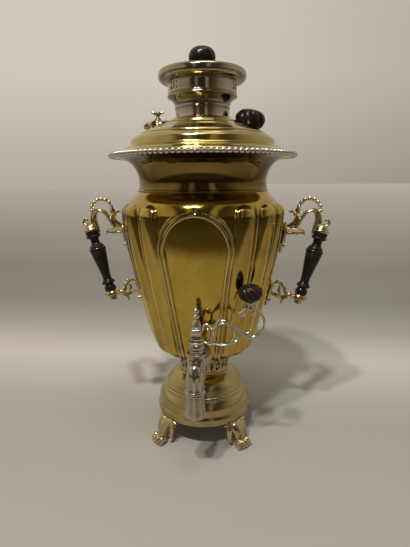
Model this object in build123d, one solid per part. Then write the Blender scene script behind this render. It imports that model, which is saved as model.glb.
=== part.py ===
"""A lobed brass samovar with a tap, two carry handles, a lid, and a crown that holds a teapot.

+Z is up, the tap side faces -Y, and the origin is on the floor under the fire pipe's axis.
Lengths are millimetres. Angles round the axis are degrees from the front, towards +X.
"""

from build123d import *
import os
from math import cos, radians, sin, sqrt

# ---- driving sizes: base ----
foot_height = 31.0
foot_reach = 86.0
foot_width = 20.0
foot_angles = (45, 135, 225, 315)
pedestal_radius = 65.0
pedestal_height = 57.0
pedestal_wall = 1.8
flange_width = 17.0
foot_screw_radius = 2.0
foot_screw_circle = 54.0
gallery_top_radius = 37.0
gallery_foot_radius = 32.0
gallery_height = 22.0
gallery_wall = 1.8
gallery_windows = 12

# ---- driving sizes: water vessel and fire pipe ----
belly_radius = 104.0
body_height = 220.0
body_wall = 1.2
lobe_relief = 6.5
neck_radius = 82.0
lobe_count = 12
first_valley = 44.0
reed_half_angle = 1.6
panel_half_angle = 21.3
frame_half_angle = 26.3
frame_width = 7.8
frame_top_half_width = 43.5
frame_foot_half_width = 24.5
frame_stand = 1.2
pipe_radius = 30.5
pipe_wall = 1.2
plate_thickness = 2.0
grate_thickness = 4.0
grate_clearance = 0.8
grate_hole_radius = 26.0

# ---- driving sizes: collar, lid, crown, cap ----
collar_height = 44.5
rim_radius = 117.0
bead_radius = 3.0
filler_share = 0.5625
lid_flange_share = 0.84375
lid_height = 42.5
lid_wall = 1.3
lid_skirt = 3.0
loose_gap = 0.6
socket_radius = 33.3
socket_height = 12.0
crown_radius = 42.0
crown_rim_radius = 53.7
crown_height = 43.0
crown_wall = 1.6
cap_radius = 33.4
cap_knob_radius = 16.5
cap_knob_height = 24.0

# ---- driving sizes: lid knob and steam vent ----
lid_knob_reach = 57.0
lid_knob_radius = 18.5
lid_knob_height = 24.0
lid_knob_tilt = 10.0
vent_reach = 56.0
vent_bore = 3.0

# ---- driving sizes: tap ----
tap_height = 130.0
plug_reach = 90.0
spout_reach = 110.0
spout_radius = 11.4
spout_drop = 53.0
tube_radius = 11.0
shank_radius = 8.0
water_bore = 5.0
barrel_rise = 28.5
barrel_drop = 16.0
plug_top_radius = 6.4
plug_bottom_radius = 5.4
running_gap = 0.05
lever_thickness = 5.0
lever_post_reach = 61.5
tap_knob_radius = 13.8
tap_knob_height = 19.5

# ---- driving sizes: handles ----
grip_foot_reach = 125.7
grip_foot_height = 183.0
grip_tilt = 15.0
grip_length = 85.5
grip_shoulder_radius = 11.2
rod_radius = 2.5
rivet_radius = 1.6
bracket_thickness = 7.0

# ---- heights of the stack, from the floor up ----
pedestal_base = foot_height
gallery_base = pedestal_base + pedestal_height
body_base = gallery_base + gallery_height
neck_line = body_base + body_height
rim_top = neck_line + collar_height
lid_top = rim_top + lid_height
crown_base = lid_top + socket_height - 1.0
pipe_top = crown_base
crown_top = crown_base + crown_height
barrel_top = tap_height + barrel_rise
barrel_bottom = tap_height - barrel_drop
spout_bottom = tap_height - spout_drop


# ---- shapes that several pieces share ----
def through(start, middle, end):
    """A shallow curve whose middle passes through a point."""
    return Bezier(start, middle * 2 - (start + end) * 0.5, end)


def bowed(start, end, bow=0.0):
    """An edge in the XZ plane; it bows to the right of its way by a share of its length."""
    (x0, z0), (x1, z1) = start, end
    if not bow:
        return Line((x0, 0, z0), (x1, 0, z1))
    middle = Vector((x0 + x1) / 2 + (z1 - z0) * bow, 0, (z0 + z1) / 2 - (x1 - x0) * bow)
    start, end = Vector(x0, 0, z0), Vector(x1, 0, z1)
    if x0 and x1:
        return ThreePointArc(start, middle, end)
    return through(start, middle, end)


def outline(points):
    """The face inside a closed outline; a point's third value bows the edge that arrives there."""
    edges = []
    for before, point in zip(points[-1:] + points[:-1], points):
        bow = point[2] if len(point) > 2 else 0.0
        edges.append(bowed(before[:2], point[:2], bow))
    return Face(Wire(edges))


def turned(points):
    """A piece turned on the lathe from an outline of (radius, height, bow)."""
    return revolve(outline(points), Axis.Z)


def sawn(points, thickness):
    """A flat piece with its outline in the XZ plane and its thickness shared about y = 0."""
    return extrude(outline(points), thickness / 2, dir=(0, 1, 0), both=True)


def scroll(points, width, thickness):
    """A flat strip that follows a smooth line through points of the XZ plane."""
    path = Spline(*[(x, z) for x, z in points])
    strip = trace(path, width)
    return extrude(Plane.XZ * strip, thickness / 2, both=True)


def upright(radius, height, base=0.0):
    """A cylinder that stands on the height base."""
    return Pos(0, 0, base) * Cylinder(radius, height, align=(Align.CENTER, Align.CENTER, Align.MIN))


def forward(radius, length, start, height):
    """A cylinder along -Y from y = -start."""
    rod = Cylinder(radius, length, align=(Align.CENTER, Align.CENTER, Align.MIN))
    return Pos(0, -start, height) * Rot(90, 0, 0) * rod


def sideways(radius, start, end, y, height):
    """A cylinder along +X between two places on X."""
    rod = Cylinder(radius, end - start, align=(Align.CENTER, Align.CENTER, Align.MIN))
    return Pos(start, y, height) * Rot(0, 90, 0) * rod


def around(piece, angle):
    """A piece drawn at the front, carried round the axis to an angle."""
    return Rot(0, 0, angle) * piece


def hexagon(across_flats, height, base=0.0):
    """A hexagonal nut blank that stands on the height base."""
    corner = across_flats / 2 / cos(radians(30))
    return Pos(0, 0, base) * extrude(RegularPolygon(corner, 6), height)


pieces = {}

# ---- pedestal: a spun bell with a turned-in flange that the feet bolt to ----
def on_pedestal(across, up, *bow):
    """A point of the bell's outside, in shares of its spread and of its height."""
    radius = gallery_foot_radius + across * (pedestal_radius - gallery_foot_radius)
    return (radius, pedestal_base + up * pedestal_height, *bow)


def under_pedestal(across, up, *bow):
    """A point of the bell's inside, one wall below and within the outside."""
    radius, height = on_pedestal(across, up)
    return (radius - pedestal_wall, height - pedestal_wall, *bow)


bell_outside = [
    on_pedestal(1.0, 0.0),
    on_pedestal(1.0, 0.09),
    on_pedestal(0.975, 0.13, -0.1),
    on_pedestal(0.94, 0.26, -0.1),
    on_pedestal(0.83, 0.44, 0.12),
    on_pedestal(0.795, 0.46, 0.3),
    on_pedestal(0.775, 0.50, 0.3),
    on_pedestal(0.72, 0.555, 0.1),
    on_pedestal(0.695, 0.555),
    on_pedestal(0.67, 0.60, 0.2),
    on_pedestal(0.645, 0.61),
    on_pedestal(0.37, 0.83, 0.13),
    on_pedestal(0.1, 0.93, -0.08),
    on_pedestal(0.06, 1.0, -0.2),
]
bell_mouth = gallery_foot_radius - 2.5
flange_edge = pedestal_radius - flange_width
flange_top = pedestal_base + pedestal_wall
bell_inside = [
    (bell_mouth, gallery_base),
    (bell_mouth, gallery_base - 5.0),
    under_pedestal(0.37, 0.83, 0.03),
    under_pedestal(0.62, 0.60, -0.1),
    under_pedestal(0.80, 0.43, -0.06),
    under_pedestal(0.93, 0.24, -0.06),
    (pedestal_radius - pedestal_wall, flange_top, 0.06),
    (flange_edge, flange_top),
    (flange_edge, pedestal_base),
]
pedestal = turned(bell_outside + bell_inside)
screw_hole = Pos(0, -foot_screw_circle, 0) * upright(foot_screw_radius + 0.2, 12, pedestal_base - 6)
for angle in foot_angles:
    pedestal -= around(screw_hole, angle)
pieces["pedestal"] = pedestal

# ---- four cast paw feet, each with a leaf wing up the pedestal's rim on both sides ----
lug_height = 5.0
paw_ball = 9.5
toe_radius = 4.2
heel = flange_edge + 1.0
foot_side = [
    (heel, foot_height - lug_height),
    (pedestal_radius - 5.0, foot_height - lug_height),
    (foot_reach - 17.0, paw_ball, -0.1),
    (foot_reach - 18.0, 0.0, 0.1),
    (foot_reach - 4.0, 0.0),
    (foot_reach, 5.0, 0.25),
    (foot_reach - 4.5, 12.5, 0.25),
    (pedestal_radius + 2.5, foot_height - 3.0, -0.12),
    (pedestal_radius, foot_height, 0.2),
    (heel, foot_height),
]
wing_span = 19.0
wing_side = [
    (-wing_span, foot_height - 1.5),
    (-wing_span + 4.0, foot_height - 7.0, 0.1),
    (-6.0, foot_height - 12.0, -0.1),
    (6.0, foot_height - 12.0),
    (wing_span - 4.0, foot_height - 7.0, -0.1),
    (wing_span, foot_height - 1.5, 0.1),
    (wing_span - 7.0, foot_height),
    (-wing_span + 7.0, foot_height),
]
leg = Rot(0, 0, -90) * sawn(foot_side, foot_width)
rim_band = upright(pedestal_radius + 1.6, foot_height) - upright(pedestal_radius - 3.0, foot_height)
wings = extrude(outline(wing_side), pedestal_radius + 10.0, dir=(0, -1, 0)) & rim_band
foot = leg + wings
ground_cut = Pos(0, 0, 2 * toe_radius) * Box(60, 300, 4 * toe_radius)
for step in (-1.5, -0.5, 0.5, 1.5):
    toe = Pos(step * foot_width / 3.6, -(foot_reach - toe_radius - abs(step) * 1.6), toe_radius - 0.7)
    foot += (toe * Sphere(toe_radius)) & ground_cut
foot -= Pos(0, -foot_screw_circle, 0) * upright(foot_screw_radius + 0.2, foot_height)
foot_names = ("foot_front_right", "foot_back_right", "foot_back_left", "foot_front_left")
for name, angle in zip(foot_names, foot_angles):
    pieces[name] = around(foot, angle)

screw_head = 3.6
screw_length = lug_height + pedestal_wall + 5.0
lug_bottom = foot_height - lug_height
screw = upright(screw_head, 2.4, lug_bottom - 2.4) + upright(foot_screw_radius, screw_length, lug_bottom)
nut = hexagon(7.0, 3.2, flange_top) - upright(foot_screw_radius, 60)
place = Pos(0, -foot_screw_circle, 0)
pieces["foot_screws"] = Compound(children=[around(place * screw, a) for a in foot_angles])
pieces["foot_nuts"] = Compound(children=[around(place * nut, a) for a in foot_angles])

# ---- gallery: the pierced air ring that carries the vessel on the pedestal ----
gallery = turned([
    (gallery_foot_radius, gallery_base),
    (gallery_foot_radius + 0.8, gallery_base + 2.5, 0.3),
    (gallery_foot_radius, gallery_base + 5.0, 0.3),
    (gallery_top_radius - 1.5, body_base - 3.5, 0.04),
    (gallery_top_radius, body_base - 2.0, 0.2),
    (gallery_top_radius, body_base),
    (gallery_top_radius - gallery_wall - 1.5, body_base),
    (gallery_top_radius - gallery_wall - 1.5, body_base - 4.0),
    (gallery_foot_radius - gallery_wall, gallery_base + 5.0, -0.04),
    (gallery_foot_radius - gallery_wall, gallery_base),
])
window_middle = gallery_base + gallery_height * 0.52
window_radius = 3.0
window_spread = 3.3
slot_height = 9.0
for index in range(gallery_windows):
    if index % 2:
        slot = Box(window_radius, pedestal_radius, slot_height, align=(Align.CENTER, Align.MAX, Align.CENTER))
        cut = Pos(0, 0, window_middle) * slot
    else:
        cut = forward(window_radius, pedestal_radius, 0, window_middle + window_spread)
        cut += forward(window_radius, pedestal_radius, 0, window_middle - window_spread)
    gallery -= around(cut, 360 / gallery_windows * (index + 0.5))
pieces["gallery_ring"] = gallery

# ---- vessel: one lobed shell from its round foot to its round neck, open at both ends ----
vessel_base = body_base + plate_thickness
vessel_rise = neck_line - vessel_base
vessel_foot_radius = gallery_top_radius + 0.5
# Each station: share of the vessel's rise, share of the belly's radius, share of the relief.
lobe_stations = [
    (0.0, vessel_foot_radius / belly_radius, 0.0),
    (0.014, 0.428, 0.0),
    (0.030, 0.495, 0.0),
    (0.0505, 0.570, 0.20),
    (0.0807, 0.638, 0.55),
    (0.1206, 0.668, 0.70),
    (0.1963, 0.722, 0.76),
    (0.3445, 0.800, 0.84),
    (0.505, 0.880, 0.92),
    (0.6606, 0.950, 0.97),
    (0.7876, 0.991, 1.0),
    (0.8665, 1.0, 1.0),
    (0.899, 0.985, 0.80),
    (0.917, 0.960, 0.42),
    (0.9349, 0.920, 0.0),
    (0.9633, 0.855, 0.0),
    (1.0, neck_radius / belly_radius, 0.0),
]


def vessel_height(share):
    """The height of a station above the floor."""
    return vessel_base + vessel_rise * share


def skin(height):
    """The lobes' outer radius at a height, for what sits on them."""
    share = (height - vessel_base) / vessel_rise
    for (u0, r0, _), (u1, r1, _) in zip(lobe_stations, lobe_stations[1:]):
        if share <= u1:
            return belly_radius * (r0 + (r1 - r0) * (share - u0) / (u1 - u0))
    return neck_radius


def round_point(radius, angle, height):
    """A point at an angle from the front."""
    return Vector(radius * sin(radians(angle)), -radius * cos(radians(angle)), height)


def section(radius, relief, height):
    """One level of the vessel: a flat front panel, a half lobe beside it, and lobes with reeds."""
    valley = radius - relief
    knots = [(-panel_half_angle, valley), (panel_half_angle, valley)]
    middles = [(0.0, valley - 0.6 * relief)]

    def go(angle, r, middle_angle, middle_r):
        knots.append((angle, r))
        middles.append((middle_angle, middle_r))

    flank = (panel_half_angle + frame_half_angle) / 2
    half_lobe = (frame_half_angle + first_valley - reed_half_angle) / 2
    go(frame_half_angle, radius - 0.1 * relief, flank, valley + 0.45 * relief)
    go(first_valley - reed_half_angle, valley, half_lobe, valley + 0.68 * relief)
    pitch = (360 - 2 * first_valley) / lobe_count
    for index in range(lobe_count + 1):
        reed = first_valley + index * pitch
        go(reed + reed_half_angle, valley, reed, valley + 0.3 * relief)
        if index < lobe_count:
            go(reed + pitch - reed_half_angle, valley, reed + pitch / 2, radius)
    go(360 - frame_half_angle, radius - 0.1 * relief, 360 - half_lobe, valley + 0.68 * relief)
    go(360 - panel_half_angle, valley, 360 - flank, valley + 0.45 * relief)
    return Face(Wire([
        through(*(round_point(r, a, height) for a, r in ((a0, r0), middle, (a1, r1))))
        for (a0, r0), middle, (a1, r1) in zip(knots, middles, knots[1:])
    ]))


def lobed_solid(inset):
    """The whole vessel as a solid, its surface moved in by inset."""
    return loft([
        section(belly_radius * out - inset, lobe_relief * relief, vessel_height(up))
        for up, out, relief in lobe_stations
    ])


lobes_outside = lobed_solid(0.0)
lobes_inside = lobed_solid(body_wall)
body_shell = lobes_outside - lobes_inside

# ---- bottom plate and fire pipe ----
vessel_bottom = upright(vessel_foot_radius + 0.8, plate_thickness, body_base)
pieces["vessel_bottom"] = vessel_bottom - upright(grate_hole_radius, 200)
pipe_bottom = vessel_base
pipe_bore = pipe_radius - pipe_wall
pieces["fire_pipe"] = upright(pipe_radius, pipe_top - pipe_bottom, pipe_bottom) - upright(pipe_bore, 600)
grate_radius = pipe_bore - grate_clearance
grate = upright(grate_radius, grate_thickness, pipe_bottom)
slot_pitch = 7.5
for index in range(-3, 4):
    x = index * slot_pitch
    reach = sqrt(grate_radius**2 - (abs(x) + 2.0) ** 2) - 3.0
    grate -= Pos(x, 0, pipe_bottom) * Box(3.5, 2 * reach, 20)
pieces["grate"] = grate

# ---- front frame: a raised arched moulding soldered round the panel ----
spring_line = vessel_height(0.7133)
haunch = vessel_height(0.896)
frame_foot = vessel_height(0.025)


def arch(inset):
    """The panel's arched outline, moved in by inset; it stays open-ended at the foot."""
    top = frame_top_half_width - inset
    low = frame_foot_half_width - inset
    return [
        (-low, frame_foot if not inset else frame_foot - 10),
        (low, frame_foot if not inset else frame_foot - 10),
        (top, spring_line),
        (top * 0.60, haunch - inset * 0.85, 0.17),
        (-top * 0.60, haunch - inset * 0.85, 0.055),
        (-top, spring_line, 0.17),
    ]


front_line = [
    (belly_radius * out - 1.6 * lobe_relief * relief + frame_stand, 0, vessel_height(up))
    for up, out, relief in lobe_stations[1:-1]
]
inner_foot, inner_top = (20.0, 0, front_line[0][2]), (20.0, 0, front_line[-1][2])
slab = Face(Wire([
    Spline(*front_line),
    Line(front_line[-1], inner_top),
    Line(inner_top, inner_foot),
    Line(inner_foot, front_line[0]),
]))
front_slab = Rot(0, 0, -90) * extrude(slab, frame_top_half_width + 10.0, dir=(0, 1, 0), both=True)
frame_ring = extrude(outline(arch(0.0)), 200, dir=(0, -1, 0))
frame_ring -= extrude(outline(arch(frame_width)), 200, dir=(0, -1, 0))
pieces["panel_frame"] = (front_slab & frame_ring) - lobes_outside

# ---- collar: the flared ring on the neck, with its beaded rim ----
rim_middle = rim_top - bead_radius + 1.5
rim_seat = rim_radius - bead_radius


def on_flare(out, up, *bow):
    """A point of the collar, in shares of its spread from neck to rim and of its height."""
    return (neck_radius + out * (rim_seat - neck_radius), neck_line + up * collar_height, *bow)


filler_radius = on_flare(filler_share, 1.0)[0]
lid_flange_radius = on_flare(lid_flange_share, 1.0)[0]
bead_rim = Pos(0, 0, rim_middle) * Torus(rim_seat, bead_radius)
collar = turned([
    (neck_radius, neck_line),
    (neck_radius - 1.0, neck_line + collar_height * 0.32, -0.04),
    on_flare(0.34375, 0.82, -0.2),
    (rim_seat, rim_middle - 1.5, -0.05),
    (rim_seat, rim_top),
    (filler_radius, rim_top),
    (filler_radius, rim_top - lid_skirt - 0.5),
    (on_flare(0.4375, 1.0)[0], rim_top - lid_skirt - 2.2),
    on_flare(0.296875, 0.80, 0.02),
    (neck_radius - 1.0 - body_wall, neck_line + collar_height * 0.32, 0.2),
    (neck_radius - body_wall, neck_line, 0.04),
]) - bead_rim
pieces["neck_collar"] = collar
pieces["bead_rim"] = bead_rim

# ---- lid: a spun dome of stepped rings round a hole for the fire pipe ----
lid_hole = pipe_radius + loose_gap
lid_outside = [(lid_flange_radius, rim_top), (lid_flange_radius, rim_top + 2.0, 0.3)]


def on_lid(up, out, *bow):
    """A point of the lid's outside, in shares of its rise and of its flange's radius."""
    return (out * lid_flange_radius, rim_top + up * lid_height, *bow)


# Each step: share of the rise, share of the radius, fall of the step, bow of the ring above it.
lid_steps = [
    (0.155, 0.950, 1.1, 0.12),
    (0.235, 0.919, 1.1, 0.12),
    (0.315, 0.872, 1.1, 0.12),
    (0.390, 0.829, 1.1, 0.12),
    (0.475, 0.783, 1.1, 0.12),
    (0.555, 0.723, 1.1, 0.12),
    (0.645, 0.630, 0.7, 0.03),
    (0.725, 0.569, 0.7, 0.02),
    (0.835, 0.479, 0.7, 0.03),
    (0.935, 0.399, 0.7, 0.04),
]
for up, out, fall, bow in lid_steps:
    radius, height = on_lid(up, out)
    lid_outside.append((radius + fall, height - fall, bow))
    lid_outside.append((radius, height))
lid_outside.append((socket_radius + 5.5, lid_top - 2.0, -0.1))
lid_outside.append((socket_radius + 4.0, lid_top, 0.35))


def under_lid(up, out):
    """A point of the lid's inside, straight below a point of the outside."""
    return out * lid_flange_radius, rim_top + up * lid_height - 1.6 * lid_wall


skirt_outer = filler_radius - 0.5
skirt_inner = skirt_outer - 1.2
seat_edge, seat_top = on_lid(0.100, 0.945)
lid_inside = [(lid_hole, lid_top), (lid_hole, lid_top - 3.5)]
lid_inside += [under_lid(up, out) for up, out, _, _ in reversed(lid_steps[1:])]
lid_inside += [
    (seat_edge, seat_top),
    (seat_edge, rim_top + 1.3 * lid_wall),
    (skirt_inner, rim_top + 1.3 * lid_wall),
    (skirt_inner, rim_top - lid_skirt),
    (skirt_outer, rim_top - lid_skirt),
    (skirt_outer, rim_top),
]
pieces["lid"] = turned(lid_outside + lid_inside)
lid_block = turned(lid_outside + [(0.0, lid_top), (0.0, rim_top)])

# ---- lid knob: a ribbed ball of dark wood on a rosette, screwed from inside the lid ----
knob_foot_z = on_lid(0.735, 0)[1]
knob_place = Pos(lid_knob_reach, 0, knob_foot_z) * Rot(0, lid_knob_tilt, 0)


def knob(radius, height, base, bore):
    """A flattened wooden ball with a short foot and a blind screw hole from below."""
    ball = turned([
        (0, base),
        (radius * 0.42, base),
        (radius * 0.5, base + height * 0.08, 0.1),
        (radius, base + height * 0.5, 0.2),
        (radius * 0.62, base + height * 0.9, 0.14),
        (0, base + height, 0.05),
    ])
    return ball - upright(bore, height * 0.55, base)


rosette_top = 5.0
knob_screw_radius = 1.8
rosette_radius = 11.5
rosette = turned([
    (0, -12),
    (rosette_radius, -12),
    (rosette_radius, 1.5),
    (rosette_radius - 1.5, 3.0, 0.2),
    (rosette_radius - 3.5, rosette_top, -0.1),
    (0, rosette_top),
])
rosette = knob_place * (rosette - upright(knob_screw_radius + 0.2, 60, -20)) - lid_block
pieces["lid_knob_rosette"] = rosette
pieces["lid_knob"] = knob_place * knob(lid_knob_radius, lid_knob_height, rosette_top, knob_screw_radius)
lid_screw_foot = -8.0
lid_screw = upright(knob_screw_radius, rosette_top + lid_knob_height * 0.5 - lid_screw_foot, lid_screw_foot)
lid_screw += upright(4.0, 2.0, lid_screw_foot - 2.0)
pieces["lid_knob_screw"] = knob_place * lid_screw
pieces["lid"] -= knob_place * upright(knob_screw_radius + 0.2, 14, -9.0)

# ---- steam vent: a cast seat on the lid with a turning valve in it ----
vent_place = Pos(-vent_reach, 0, on_lid(0.73, 0)[1])
vent_seat_top = 9.5
valve_radius = 4.0
valve_foot = 5.2
port_height = 7.2
port_radius = 1.2
petal_circle = 13.0
seat = turned([
    (0, -14),
    (petal_circle, -14),
    (petal_circle, 2.5),
    (9.0, 5.0, -0.1),
    (7.0, vent_seat_top, 0.1),
    (0, vent_seat_top),
])
for index in range(8):
    seat += Rot(0, 0, index * 45) * Pos(petal_circle, 0, 1.5) * Sphere(3.4)
seat -= upright(valve_radius + running_gap, 30, valve_foot)
seat -= upright(vent_bore, 60, -30)
vent_port = Pos(0, 0, port_height) * Rot(90, 0, 0) * Cylinder(port_radius, 60)
seat -= vent_port
pieces["vent_seat"] = vent_place * seat - lid_block
pieces["lid"] -= vent_place * upright(vent_bore, 30, -15)
valve_top = 21.5
valve_grip_radius = 5.8
valve = turned([
    (0, valve_foot + 0.2),
    (valve_radius, valve_foot + 0.2),
    (valve_radius, vent_seat_top + 0.3),
    (5.2, vent_seat_top + 0.3),
    (5.2, vent_seat_top + 1.5),
    (2.2, vent_seat_top + 5.5, -0.15),
    (valve_grip_radius, valve_top - 1.5, -0.15),
    (valve_grip_radius, valve_top),
    (0, valve_top),
])
valve -= upright(2.4, port_height - valve_foot, valve_foot)
valve -= vent_port
wing_nut = Pos(0, 0, valve_top - 1.2) * Box(17.0, 2.6, 3.2)
pieces["steam_valve"] = vent_place * (valve + wing_nut)

# ---- crown: the teapot stand that slips over the fire pipe's end ----
socket_bore = pipe_radius + loose_gap
crown_foot = crown_base + 6.5
bowl_turn = crown_base + 14.5
crown_neck = crown_top - 14.0
crown = turned([
    (socket_radius, lid_top + 0.4),
    (socket_radius, crown_base - 1.0),
    (socket_radius + 0.8, crown_base, 0.3),
    (socket_radius + 0.8, crown_foot),
    (crown_radius - 0.5, bowl_turn - 3.0, 0.2),
    (crown_radius + 0.8, bowl_turn - 1.5, 0.3),
    (crown_radius + 0.3, bowl_turn, 0.3),
    (crown_radius, crown_neck),
    (crown_rim_radius - 3.5, crown_neck + 1.5, 0.03),
    (crown_rim_radius, crown_neck + 5.0, 0.2),
    (crown_rim_radius, crown_top - 2.5),
    (crown_rim_radius - 2.5, crown_top, 0.2),
    (crown_rim_radius - 5.5, crown_top),
    (crown_radius - crown_wall, crown_neck + 3.0, -0.1),
    (crown_radius - crown_wall, bowl_turn - 2.0),
    (socket_radius + 1.0, crown_foot + 1.6, -0.15),
    (pipe_bore - 1.5, crown_foot + 1.6),
    (pipe_bore - 1.5, crown_base),
    (socket_bore, crown_base),
    (socket_bore, lid_top + 0.4),
])
crown_slot_width = 3.2
crown_slot_height = 9.0
slot = Pos(0, 0, (bowl_turn + crown_neck) / 2 + 1.0) * Box(
    crown_slot_width, crown_rim_radius, crown_slot_height, align=(Align.CENTER, Align.MAX, Align.CENTER)
)
for group in (-46, 74, 194):
    for step in (-9, 0, 9):
        crown -= around(slot, group + step)
pieces["crown"] = crown

# ---- cap: closes the pipe inside the crown, lifted by its own wooden knob ----
cap_seat = crown_foot + 1.6
cap_dome = 18.0
cap_knob_base = crown_top + 28.0 - cap_knob_height
pieces["cap"] = turned([
    (0, cap_seat + cap_dome),
    (0, cap_seat + cap_dome - 1.6),
    (cap_radius - 4.0, cap_seat + 2.5, -0.14),
    (cap_radius - 4.0, cap_seat),
    (cap_radius, cap_seat),
    (cap_radius, cap_seat + 3.0),
    (cap_radius - 4.5, cap_seat + 4.5, 0.1),
    (6.0, cap_seat + cap_dome, 0.12),
    (3.6, cap_seat + cap_dome + 3.0, -0.2),
    (4.8, cap_knob_base, -0.1),
    (0, cap_knob_base),
]) - upright(knob_screw_radius, 200, cap_seat)
pieces["cap_knob"] = knob(cap_knob_radius, cap_knob_height, cap_knob_base, knob_screw_radius)
cap_screw_foot = cap_seat + cap_dome - 1.6
pieces["cap_screw"] = upright(
    knob_screw_radius, cap_knob_base + cap_knob_height * 0.5 - cap_screw_foot, cap_screw_foot
) + upright(4.0, 2.0, cap_screw_foot - 2.0)

# ---- tap body: shank, barrel and eight-sided spout in one casting ----
rosette_stand = 5.5
rosette_sink = 16.5
washer_sink = 18.5
seat_front = skin(tap_height) + rosette_stand
washer_back = skin(tap_height) - washer_sink
barrel = Pos(0, -plug_reach, 0) * turned([
    (0, barrel_bottom),
    (tube_radius - 1.0, barrel_bottom),
    (tube_radius, barrel_bottom + 2.0, 0.2),
    (tube_radius, tap_height + 13.0),
    (tube_radius + 0.2, tap_height + 15.0, 0.2),
    (plug_top_radius + 1.9, tap_height + 17.0, -0.1),
    (plug_top_radius + 1.9, barrel_top - 7.5),
    (9.4, barrel_top - 6.0, 0.1),
    (9.4, barrel_top - 1.0, 0.1),
    (8.6, barrel_top, 0.2),
    (0, barrel_top),
])
tube = forward(tube_radius, spout_reach - seat_front, seat_front, tap_height)
shank = forward(shank_radius, seat_front - washer_back + 10.0, washer_back - 10.0, tap_height)
elbow = Pos(0, -spout_reach, tap_height) * Sphere(spout_radius)


def octagon(across, height):
    """An eight-sided section of the spout with a corner towards the front."""
    return Pos(0, -spout_reach, height) * (Rot(0, 0, 90) * RegularPolygon(across / 2, 8))


band_top = tap_height - 30.0
band_bottom = band_top - 6.0
band_width = 2 * spout_radius + 1.8
lip_width = 2 * spout_radius + 3.6
nozzle = loft([octagon(2 * spout_radius, band_top), octagon(2 * spout_radius, tap_height)])
nozzle += loft([octagon(lip_width, spout_bottom), octagon(2 * spout_radius - 1.3, band_bottom)])
nozzle += loft([octagon(band_width, band_bottom), octagon(band_width, band_top)])
water_way = forward(water_bore, spout_reach - washer_back + 12.0, washer_back - 12.0, tap_height)
outlet_bottom = spout_bottom - 5.0
water_way += Pos(0, -spout_reach, 0) * upright(water_bore + 1.0, tap_height - outlet_bottom, outlet_bottom)
plug_bore = Pos(0, -plug_reach, 0) * turned([
    (0, barrel_bottom - 1),
    (plug_bottom_radius + running_gap, barrel_bottom - 1),
    (plug_bottom_radius + running_gap, barrel_bottom),
    (plug_top_radius + running_gap, barrel_top),
    (plug_top_radius + running_gap, barrel_top + 1),
    (0, barrel_top + 1),
])
pieces["tap_body"] = (barrel + tube + shank + elbow + nozzle) - water_way - plug_bore

# ---- how the tap is fixed: rosette outside, shaped washer and nut inside ----
rosette_back = skin(tap_height) - rosette_sink
tap_rosette = forward(16.0, seat_front - rosette_back - 4.0, rosette_back, tap_height)
tap_rosette += forward(13.0, seat_front - rosette_back, rosette_back, tap_height)
tap_rosette -= forward(shank_radius, 100, 0, tap_height)
pieces["tap_rosette"] = tap_rosette - lobes_outside
tap_washer = forward(13.0, 40.0, washer_back, tap_height) & lobes_inside
pieces["tap_washer"] = tap_washer - forward(shank_radius, 100, 0, tap_height)
tap_nut = Pos(0, -washer_back, tap_height) * Rot(-90, 0, 0) * hexagon(24.0, 6.0)
pieces["tap_nut"] = tap_nut - forward(shank_radius, 100, 0, tap_height)
body_shell -= forward(shank_radius, 60, seat_front - 30, tap_height)

# ---- plug: the tapered valve with a cross hole, its key, washer and nut ----
port_radius = water_bore
stem_half = 4.0
hub_bottom = barrel_top + 3.6
hub_top = hub_bottom + 14.4
thread_radius = 3.4
plug_collar_radius = 8.4
plug = turned([
    (0, barrel_bottom - 9.0),
    (thread_radius, barrel_bottom - 9.0),
    (thread_radius, barrel_bottom - 0.3),
    (plug_bottom_radius, barrel_bottom - 0.3),
    (plug_top_radius, barrel_top),
    (plug_top_radius, barrel_top + 0.3),
    (plug_collar_radius, barrel_top + 0.3),
    (plug_collar_radius, hub_bottom),
    (0, hub_bottom),
])
plug += Pos(0, 0, (hub_bottom + hub_top) / 2) * Box(2 * stem_half, 2 * stem_half, hub_top - hub_bottom)
plug -= Pos(0, 0, tap_height) * Rot(0, 90, 0) * Cylinder(port_radius, 40)
finial_thread = 2.0
finial_radius = 6.6
plug -= upright(finial_thread, 9.0, hub_top - 9.0)
at_plug = Pos(0, -plug_reach, 0)
pieces["tap_plug"] = at_plug * plug
finial = turned([
    (0, hub_top),
    (finial_radius, hub_top),
    (finial_radius, hub_top + 1.5),
    (4.6, hub_top + 6.0, -0.05),
    (2.2, hub_top + 12.0, 0.15),
    (4.0, hub_top + 16.5, 0.25),
    (1.8, hub_top + 20.0, 0.25),
    (0, hub_top + 25.0, 0.12),
]) + upright(finial_thread, 8.0, hub_top - 8.0)
pieces["key_finial"] = at_plug * finial
washer = upright(7.5, 1.4, barrel_bottom - 1.9) - upright(thread_radius, 300)
pieces["plug_washer"] = at_plug * washer
pieces["plug_nut"] = at_plug * (hexagon(10.0, 4.0, barrel_bottom - 5.9) - upright(thread_radius, 300))

# ---- key: a cast openwork lever of rings and scrolls, with a ribbed knob on its post ----
ring_middle, ring_height, ring_outer, ring_inner = 31.0, hub_bottom + 8.4, 14.3, 11.4
lever_ring = Circle(ring_outer) - Circle(ring_inner)
key = extrude(Plane.XZ * (Pos(ring_middle, ring_height) * lever_ring), lever_thickness / 2, both=True)
key += Pos(0, 0, (hub_bottom + hub_top) / 2) * Box(14.0, 14.0, hub_top - hub_bottom)
key += sawn([
    (5.0, hub_bottom),
    (12.0, hub_bottom - 5.0, -0.2),
    (19.0, hub_bottom + 0.5, -0.1),
    (17.5, hub_bottom + 8.0, -0.1),
    (19.5, hub_bottom + 15.5, -0.1),
    (10.0, hub_bottom + 20.0, 0.35),
    (5.0, hub_bottom + 12.0, 0.2),
], lever_thickness)
key += sawn([
    (26.5, ring_height + 12.5),
    (33.5, ring_height + 12.5),
    (29.0, ring_height + 21.5, -0.15),
], lever_thickness * 0.7)
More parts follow.
